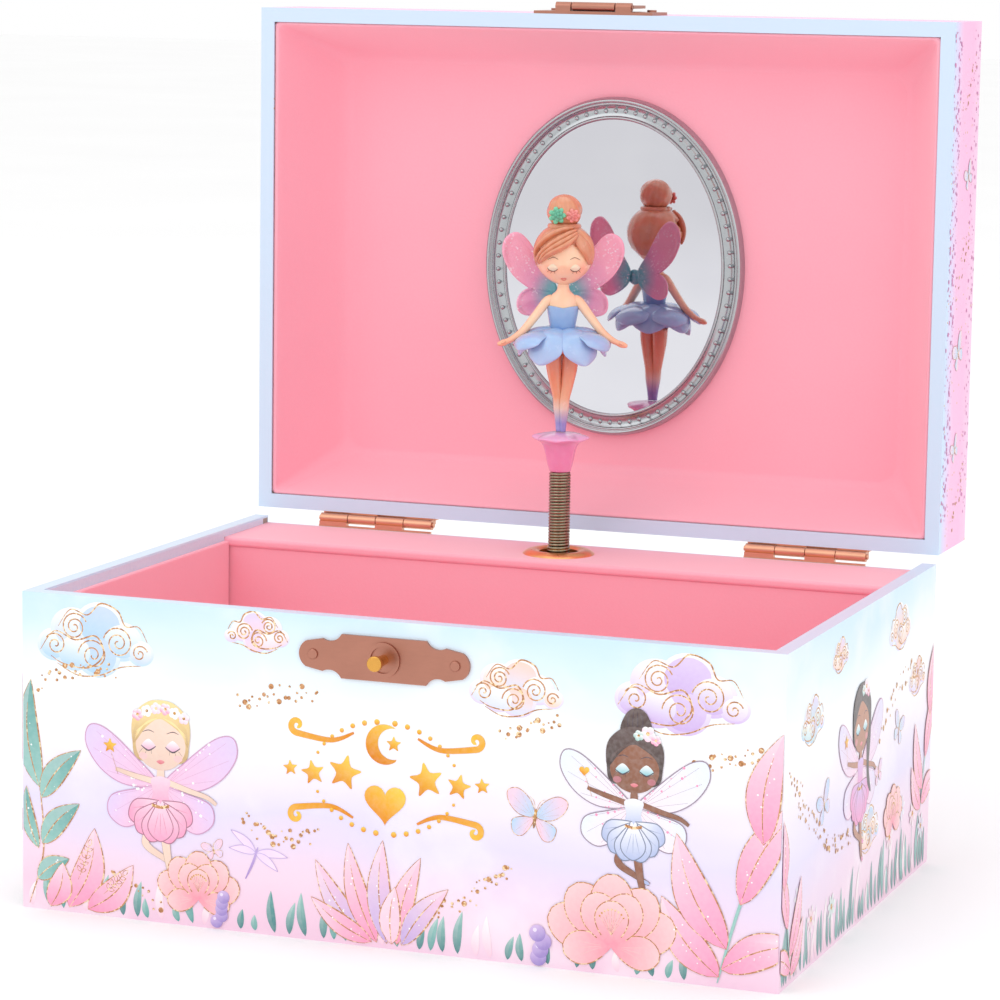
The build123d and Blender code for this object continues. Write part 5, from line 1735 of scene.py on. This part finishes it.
def doll_skirt():
    """Two layers of broad glossy petals: a wide back layer and a shorter front one."""
    def petal(name, angle, reach, width, high, low, lift, tone):
        rows = []
        across = 11
        along = 10
        for step in range(along + 1):
            share = step / along
            out = 1.9 + (reach - 1.9) * math.sin(share * math.pi / 2) ** 0.9
            height = high + (low - high) * share ** 1.7
            open_width = width * (0.32 + 0.68 * math.sin(min(1.0, share * 1.18) * math.pi / 2)) * (
                1 - 0.82 * max(0.0, (share - 0.72) / 0.28) ** 2.4
            )
            row = []
            for number in range(across):
                side = 2 * number / (across - 1) - 1
                crown = lift * (1 - side * side) * math.sin(
                    math.pi * min(1, share * 1.05)
                ) + 0.18 * abs(side) ** 3
                spread = angle + side * open_width / max(out, 2.4) * 0.5
                radius = out + crown * 0.45 - 0.5 * abs(side) ** 2 * share
                row.append(
                    on_doll(
                        radius * math.sin(spread),
                        -radius * math.cos(spread) * 0.94,
                        height + crown * 0.75 - 0.5 * side * side * (1 - share),
                    )
                )
            rows.append(row)
        shell(name, rows, tone, closed=False, caps=False, thick=0.42, levels=2)

    def tone(place):
        share = (doll_height_of(place) - 13) / 8
        return blend_colour(srgb(176, 204, 242), DOLL_BLUE, share)

    for number, degrees_round in enumerate((58, 118, 180, 242, 302)):
        petal(f"doll_skirt_under_{number + 1}", math.radians(degrees_round), 10.6, 9.8, 20.5, 16.6, 0.5, tone)
    for number, degrees_round in enumerate((-33, 33, 94, 151, 209, 266)):
        front = number < 2
        reach, low = (8.5, 13.7) if front else (9.0, 15.0)
        petal(f"doll_skirt_over_{number + 1}", math.radians(degrees_round), reach, 9.4, 20.9, low, 0.9, tone)


def doll_arms():
    """Two arms that end in hands, and a thumb on each."""
    for side in (-1, 1):
        name = "left" if side < 0 else "right"
        doll_limb(
            f"doll_arm_{name}",
            [
                (side * 2.2, 0.0, 27.0, 0.95), (side * 3.4, 0.0, 26.3, 1.08), (side * 5.6, -0.3, 23.4, 1.0),
                (side * 8.0, -0.8, 20.4, 0.88), (side * 10.0, -1.2, 18.8, 0.72),
                (side * 11.2, -1.4, 18.2, 0.62),
                (side * 12.2, -1.55, 17.8, 0.72), (side * 12.9, -1.6, 17.6, 0.56),
                (side * 13.4, -1.6, 17.5, 0.3),
            ],
            skin_tone,
            14,
            5,
            0.86,
        )
        doll_limb(
            f"doll_thumb_{name}",
            [
                (side * 11.7, -1.6, 18.1, 0.34),
                (side * 12.1, -2.2, 18.0, 0.3),
                (side * 12.5, -2.4, 17.8, 0.16),
            ],
            skin_tone,
            8,
            3,
        )


HEAD_MIDDLE = 36.2
HEAD_SHAPE = (5.55, 5.2, 5.75)


def cheek_at(level):
    """How much fuller the face is at a height, from -1 at the chin to 1 at the crown."""
    return 1 + 0.05 * math.exp(-((level + 0.35) / 0.3) ** 2)


def head_place(x, z, proud=0.0):
    """A place on the front of the face, a little proud of it."""
    across, deep, tall = HEAD_SHAPE
    level = (z + 0.6) / tall
    full = cheek_at(level)
    share = max(0.02, 1 - (x / (across * full)) ** 2 - level ** 2)
    return on_doll(x, -deep * full * math.sqrt(share) - proud, HEAD_MIDDLE + z)


def doll_head():
    """A round head with full cheeks, a small nose, closed eyes, brows, mouth and blush."""
    mesh = bmesh.new()
    bmesh.ops.create_uvsphere(mesh, u_segments=48, v_segments=32, radius=1.0)
    for vert in mesh.verts:
        x, y, z = vert.co
        cheek = cheek_at(z) if y < 0 else 1.0
        chin = 1 - 0.1 * max(0.0, -z - 0.55) * (1 + abs(x))
        nose = 0.07 * math.exp(-(x / 0.1) ** 2 - ((z + 0.24) / 0.1) ** 2) if y < 0 else 0.0
        across, deep, tall = HEAD_SHAPE
        vert.co = on_doll(x * across * cheek * chin, (y - nose) * deep * cheek, HEAD_MIDDLE - 0.6 + z * tall)

    def face_tone(place):
        x = (place - on_doll(0, 0, 0)).dot(Vector((math.cos(DOLL_FACING), math.sin(DOLL_FACING), 0))) / MM
        z = doll_height_of(place) - HEAD_MIDDLE
        blush = max(math.exp(-((x - side * 3.3) / 1.2) ** 2 - ((z + 2.6) / 0.9) ** 2) for side in (-1, 1))
        return blend_colour(DOLL_SKIN, srgb(248, 158, 130), blush * 0.55)

    tint_by(mesh, face_tone)
    finish_with(piece("doll_head", mesh, "doll", "doll_plastic"), FIGURE)

    features = bmesh.new()

    def line_on_face(points, width):
        path = [head_place(x, z, 0.05) for x, z in curve_through([Vector(p) for p in points], 5)]
        count = len(path)
        radii = [width * MM * (0.45 + 0.55 * math.sin(math.pi * k / (count - 1))) for k in range(count)]
        merge(features, tube_mesh(path, radii, 8, 0.7))

    for side in (-1, 1):
        line_on_face(
            [
                (side * 1.3, -2.75), (side * 1.75, -3.15), (side * 2.35, -3.25), (side * 2.95, -3.05),
                (side * 3.4, -2.55),
            ],
            0.11,
        )
        for x, z, lean in ((1.9, -3.2, -0.05), (2.5, -3.22, 0.2), (3.0, -3.0, 0.4)):
            line_on_face(
                [(side * x, z), (side * (x + lean * 0.6), z - 0.3), (side * (x + lean), z - 0.52)], 0.05
            )
        line_on_face([(side * 1.2, -0.75), (side * 2.2, -0.35), (side * 3.3, -0.85)], 0.08)
    tint_by(features, lambda p: srgb(112, 62, 46))
    finish_with(piece("doll_eye_lines", features, "doll", "doll_plastic"), FIGURE)

    lids = bmesh.new()
    for side in (-1, 1):
        rows = []
        for row in range(6):
            t = row / 5
            line = []
            for step in range(11):
                across = -1 + 2 * step / 10
                x = side * 2.35 + across * 1.1 * (1 - 0.1 * t)
                low = -3.2 + 0.62 * across * across
                high = -1.75 - 0.72 * across * across
                z = low + (high - low) * t
                bulge = 0.2 * math.sin(math.pi * t) * (1 - across * across)
                line.append(head_place(x, z, 0.015 + bulge))
            rows.append(line)
        merge(lids, grid_mesh(rows))
    tint_by(lids, lambda p: srgb(246, 226, 196))
    finish_with(piece("doll_eyelids", lids, "doll", "doll_plastic"), FIGURE)

    lips = bmesh.new()
    for points, width in (
        ([(-0.55, -4.85), (-0.2, -4.72), (0, -4.8), (0.2, -4.72), (0.55, -4.85)], 0.13),
        ([(-0.38, -5.02), (0, -5.14), (0.38, -5.02)], 0.15),
    ):
        path = [head_place(x, z, 0.02) for x, z in curve_through([Vector(p) for p in points], 4)]
        merge(lips, tube_mesh(path, width * MM, 8, 0.7))
    tint_by(lips, lambda p: srgb(224, 116, 100))
    finish_with(piece("doll_lips", lips, "doll", "doll_plastic"), FIGURE)


def hair_tone(place):
    angle = math.atan2(place.y - doll_y, place.x - doll_x)
    streak = 0.5 + 0.5 * math.sin(angle * 17 + place.z / MM * 0.8)
    return blend_colour(HAIR, HAIR_LIGHT, 0.3 + 0.2 * streak * streak)


def doll_hair():
    """A smooth cap with combed grooves, a swept fringe, a band, a round bun and two small flowers."""
    mesh = bmesh.new()
    bmesh.ops.create_uvsphere(mesh, u_segments=72, v_segments=36, radius=1.0)
    for vert in mesh.verts:
        x, y, z = vert.co
        angle = math.atan2(x, -y)
        comb = 1 + 0.012 * math.sin(angle * 17) * (1 - abs(z))
        front = max(0.0, -y)
        # the hair is lifted clear above the brow, and runs back under the ears
        hairline = 0.2 + 0.22 * x if z < 0.55 else -1
        inset = 1.0
        if front > 0.0 and z < hairline + 0.12 and abs(x) < 0.93:
            inset = 0.86
        vert.co = on_doll(
            x * 6.35 * comb * inset,
            y * 6.0 * comb * inset + 0.35,
            HEAD_MIDDLE + 0.3 + z * 6.1 * (1.0 if z > -0.6 else 0.96),
        )
    tint_by(mesh, hair_tone)
    finish_with(piece("doll_hair_cap", mesh, "doll", "doll_plastic"), FIGURE)
    # fringe: overlapping locks swept from the parting to each temple
    locks = bmesh.new()
    sweeps = [
        [(2.2, 4.9), (0.2, 4.0), (-2.4, 2.4), (-4.6, 0.4), (-5.5, -1.6)],
        [(2.4, 4.4), (0.6, 3.3), (-1.8, 1.9), (-4.0, 0.2), (-5.2, -1.9)],
        [(2.5, 3.9), (1.0, 2.6), (-1.0, 1.4), (-3.2, 0.2), (-4.8, -1.4)],
        [(2.4, 4.8), (3.6, 3.8), (4.7, 2.2), (5.3, 0.2), (5.5, -1.6)],
        [(2.3, 4.2), (3.2, 3.0), (4.2, 1.6), (5.0, 0.0), (5.4, -1.9)],
        [(1.6, 5.4), (-0.8, 4.9), (-3.2, 3.6), (-5.2, 1.6), (-5.9, -0.4)],
    ]
    for sweep in sweeps:
        points = curve_through([Vector(p) for p in sweep], 7)
        path = []
        count = len(points)
        for point in points:
            share = max(0.03, 1 - (point.x / 6.3) ** 2 - (point.y / 6.4) ** 2)
            path.append(on_doll(point.x, -5.75 * math.sqrt(share) + 0.1, HEAD_MIDDLE + point.y))
        radii = [
            MM * (1.25 * math.sin(math.pi * (0.12 + 0.86 * k / (count - 1))) ** 0.6 + 0.06)
            for k in range(count)
        ]
        merge(locks, tube_mesh(path, radii, 14, 0.5))
    tint_by(locks, hair_tone)
    finish_with(piece("doll_fringe", locks, "doll", "doll_plastic"), FIGURE)
    bun = bmesh.new()
    bmesh.ops.create_uvsphere(bun, u_segments=60, v_segments=30, radius=1.0)
    for vert in bun.verts:
        x, y, z = vert.co
        twist = 1 + 0.03 * math.sin(math.atan2(y, x) * 7 + z * 5)
        vert.co = on_doll(x * 3.6 * twist, y * 3.5 * twist + 0.3, 45.0 + z * 3.45)
    ring = [
        on_doll(2.9 * math.cos(TAU * k / 32), 0.3 + 2.8 * math.sin(TAU * k / 32), 41.9) for k in range(33)
    ]
    merge(bun, tube_mesh(ring, 0.62 * MM, 10))
    tint_by(bun, hair_tone)
    finish_with(piece("doll_bun", bun, "doll", "doll_plastic"), FIGURE)
    for name, x, z, size, inks in (
        ("teal", -1.55, 44.3, 1.3, (srgb(30, 130, 110), srgb(110, 206, 164))),
        ("coral", 1.65, 44.3, 1.05, (srgb(214, 76, 80), srgb(244, 150, 140))),
    ):
        flower = bmesh.new()
        middle = on_doll(x, -3.2, z)
        for layer, (count, reach, wide) in enumerate(((7, 0.85, 0.5), (6, 0.5, 0.4), (3, 0.2, 0.28))):
            for k in range(count):
                angle = TAU * k / count + layer * 0.5
                place = on_doll(
                    x + size * reach * math.cos(angle),
                    -3.2 - 0.28 * layer,
                    z + size * reach * math.sin(angle),
                )
                turn = Matrix.Rotation(DOLL_FACING, 4, "Z") @ Matrix.Rotation(-angle, 4, "Y")
                shape = Matrix.Diagonal((wide * size * MM * 1.15, 0.3 * MM, wide * size * MM * 0.85, 1))
                bmesh.ops.create_uvsphere(
                    flower,
                    u_segments=12,
                    v_segments=8,
                    radius=1.0,
                    matrix=Matrix.Translation(place) @ turn @ shape,
                )
        tint_by(flower, lambda p: blend_colour(inks[0], inks[1], (p - middle).length / (1.3 * size * MM)))
        finish_with(piece(f"doll_flower_{name}", flower, "doll", "doll_plastic"), FIGURE)


def doll_wing_pair():
    """Four domed wings with rounded rims, pressed veins and a socket block on the back."""
    root = Vector((0.0, 27.4))
    plans = {
        "upper": [
            (1.0, 28.4), (3.8, 32.6), (7.2, 38.2), (9.8, 40.0), (12.2, 38.6), (12.6, 35.2), (10.4, 31.0),
            (6.4, 28.0), (2.4, 26.6),
        ],
        "lower": [
            (1.2, 27.2), (4.2, 28.4), (7.6, 28.2), (9.4, 26.2), (9.2, 23.6), (7.0, 22.6), (4.2, 23.6),
            (1.8, 25.4),
        ],
    }
    low_y, high_y = 7.0, 7.8

    def wing_tone(place):
        local = place - on_doll(0, 0, 0)
        x = local.dot(Vector((math.cos(DOLL_FACING), math.sin(DOLL_FACING), 0))) / MM
        z = doll_height_of(place)
        far = math.hypot(x, z - root.y)
        pink = blend_colour(srgb(232, 150, 198), srgb(250, 166, 194), (far - 5) / 6)
        return blend_colour(srgb(104, 186, 198), pink, (far - 3.0) / 3.6)

    first = True
    for name, plan in plans.items():
        for side in (-1, 1):
            outline = curve_through([Vector((side * a, b)) for a, b in plan], 5, closed=True)
            middle = sum((point for point in outline), Vector((0, 0))) / len(outline)
            mesh = bmesh.new()
            for face_side in (-1, 1):
                rings = []
                for share in (1.0, 0.96, 0.9, 0.84, 0.7, 0.5, 0.3, 0.12):
                    ring = []
                    for point in outline:
                        spot = middle.lerp(point, share)
                        rim = 0.36 if 0.86 < share < 0.98 else (0.05 if share == 1.0 else 0.2)
                        angle = math.atan2((spot - root).y, (spot - root).x)
                        vein = 0.09 * math.sin(
                            angle * 13 + (spot - root).length * 0.25
                        ) if share < 0.86 else 0.0
                        depth = (low_y + high_y) / 2 + face_side * (rim + vein)
                        ring.append(on_doll(spot.x, depth, spot.y))
                    rings.append(ring)
                merge(mesh, grid_mesh(rings, closed=True))
                cap = bmesh.new()
                cap.faces.new([cap.verts.new(point) for point in rings[-1]])
                merge(mesh, cap)
            bmesh.ops.remove_doubles(mesh, verts=mesh.verts, dist=0.02 * MM)
            merge_edges = [edge for edge in mesh.edges if edge.is_boundary]
            if merge_edges:
                bmesh.ops.bridge_loops(mesh, edges=merge_edges)
            bmesh.ops.recalc_face_normals(mesh, faces=mesh.faces)
            tint_by(mesh, wing_tone)
            replaced = ("doll_wings",) if first else ()
            made = piece(
                f"doll_wing_{name}_{'left' if side < 0 else 'right'}",
                mesh,
                "doll",
                "wing_plastic",
                *replaced,
            )
            finish_with(made, WING_PAINT)
            first = False
    path = [on_doll(0, y, 27.2) for y in (1.4, 3.0, 5.0, 7.2)]
    mesh = tint_by(tube_mesh(path, [1.3 * MM, 1.2 * MM, 1.2 * MM, 1.7 * MM], 14), wing_tone)
    finish_with(piece("doll_wing_root", mesh, "doll", "wing_plastic"), WING_PAINT)


def doll_flower_cup():
    """A flower cup: six pointed petals flared from a faceted cone, with a flat seat for the feet."""
    count = 72
    low = (cup_low.z - cup_high.z) / MM
    # height, radius, petal wave, fold depth
    profile = [
        (low, 1.9, 0.0, 0.0), (low + 0.1, 2.3, 0.0, 0.0), (low + 0.9, 2.35, 0.0, 0.01),
        (low + 1.2, 2.6, 0.0, 0.03),
        (-6.0, 2.9, 0.0, 0.05), (-4.0, 3.3, 0.0, 0.07), (-3.0, 3.9, 0.05, 0.06), (-2.5, 4.8, 0.12, 0.04),
        (-2.3, 5.6, 0.2, 0.03), (-2.0, 5.95, 0.24, 0.02), (-1.7, 5.8, 0.23, 0.02), (-1.3, 4.8, 0.14, 0.03),
        (-0.95, 3.4, 0.05, 0.03), (-0.8, 2.2, 0.0, 0.0), (-0.75, 0.6, 0.0, 0.0),
    ]
    rows = []
    for z, radius, wave, fold in profile:
        ring = []
        for step in range(count):
            angle = TAU * step / count
            point = abs(math.cos(3 * angle + 0.6)) ** 1.6
            pleat = math.cos(6 * angle + 1.2)
            swell = 1 + wave * (point - 0.75) - fold * pleat
            rise = wave * 2.6 * (point - 0.5)
            ring.append(
                on_doll(radius * swell * math.cos(angle), radius * swell * math.sin(angle), z + rise * 0.6)
            )
        rows.append(ring)

    def cup_tone(place):
        height = doll_height_of(place)
        return blend_colour(srgb(242, 150, 194), srgb(242, 176, 218), (height + 4.5) / 2.6)

    shell(
        "doll_flower_cup", rows, cup_tone, "pink_plastic", material=CUP_PAINT, replaced=("doll_cup",),
        levels=1,
    )


doll_legs()
doll_body()
doll_skirt()
doll_arms()
doll_head()
doll_hair()
doll_wing_pair()
doll_flower_cup()
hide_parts("doll_figure")



# ---------------------------------------------------------------- stage, light and camera
def stage():
    """A plain pale floor with soft studio light."""
    mesh = bmesh.new()
    bmesh.ops.create_grid(mesh, x_segments=1, y_segments=1, size=6.0)
    data = bpy.data.meshes.new("floor")
    mesh.to_mesh(data)
    mesh.free()
    floor = bpy.data.objects.new("floor", data)
    bpy.context.scene.collection.objects.link(floor)
    floor.location.z = case_low.z
    paint = Paint("floor_paper", roughness=0.9)
    paint.set("Base Color", paint.mix(paint.noise(0.2), srgb(250, 250, 250), srgb(255, 255, 255)))
    data.materials.append(paint.material)

    world = bpy.data.worlds.new("studio")
    bpy.context.scene.world = world
    world.use_nodes = True
    world.node_tree.nodes["Background"].inputs["Color"].default_value = (1.0, 1.0, 1.0, 1.0)
    world.node_tree.nodes["Background"].inputs["Strength"].default_value = 1.0

    target = Vector((0, 0, 0.08))
    for name, place, size, power in (
        ("key_light", (-0.55, -0.95, 0.95), 0.9, 2.1),
        ("fill_light", (0.95, -0.8, 0.5), 0.8, 1.0),
        ("top_light", (0.0, 0.1, 1.3), 0.9, 1.7),
    ):
        lamp = bpy.data.lights.new(name, "AREA")
        lamp.size = size
        lamp.energy = power
        made = bpy.data.objects.new(name, lamp)
        made.location = place
        made.rotation_euler = (target - Vector(place)).to_track_quat("-Z", "Y").to_euler()
        bpy.context.scene.collection.objects.link(made)


def camera():
    """A long lens from the front, a little to the right and above."""
    turn, tilt, roll = (math.radians(value) for value in (20.51, 8.37, 0.883))
    back = Vector((math.sin(turn) * math.cos(tilt), -math.cos(turn) * math.cos(tilt), math.sin(tilt)))
    right = Vector((math.cos(turn), math.sin(turn), 0))
    up = back.cross(right)
    across = right * math.cos(roll) + up * math.sin(roll)
    upward = up * math.cos(roll) - right * math.sin(roll)
    lens = bpy.data.cameras.new("camera")
    lens.sensor_width = 36
    lens.lens = 133.9
    lens.shift_y = -0.004
    lens.clip_start = 0.01
    made = bpy.data.objects.new("camera", lens)
    rows = Matrix((across, upward, back)).transposed().to_4x4()
    made.matrix_world = Matrix.Translation((0.2547, -0.6782, 0.1848)) @ rows
    bpy.context.scene.collection.objects.link(made)
    bpy.context.scene.camera = made


stage()
camera()
bpy.context.scene.view_settings.view_transform = "Standard"
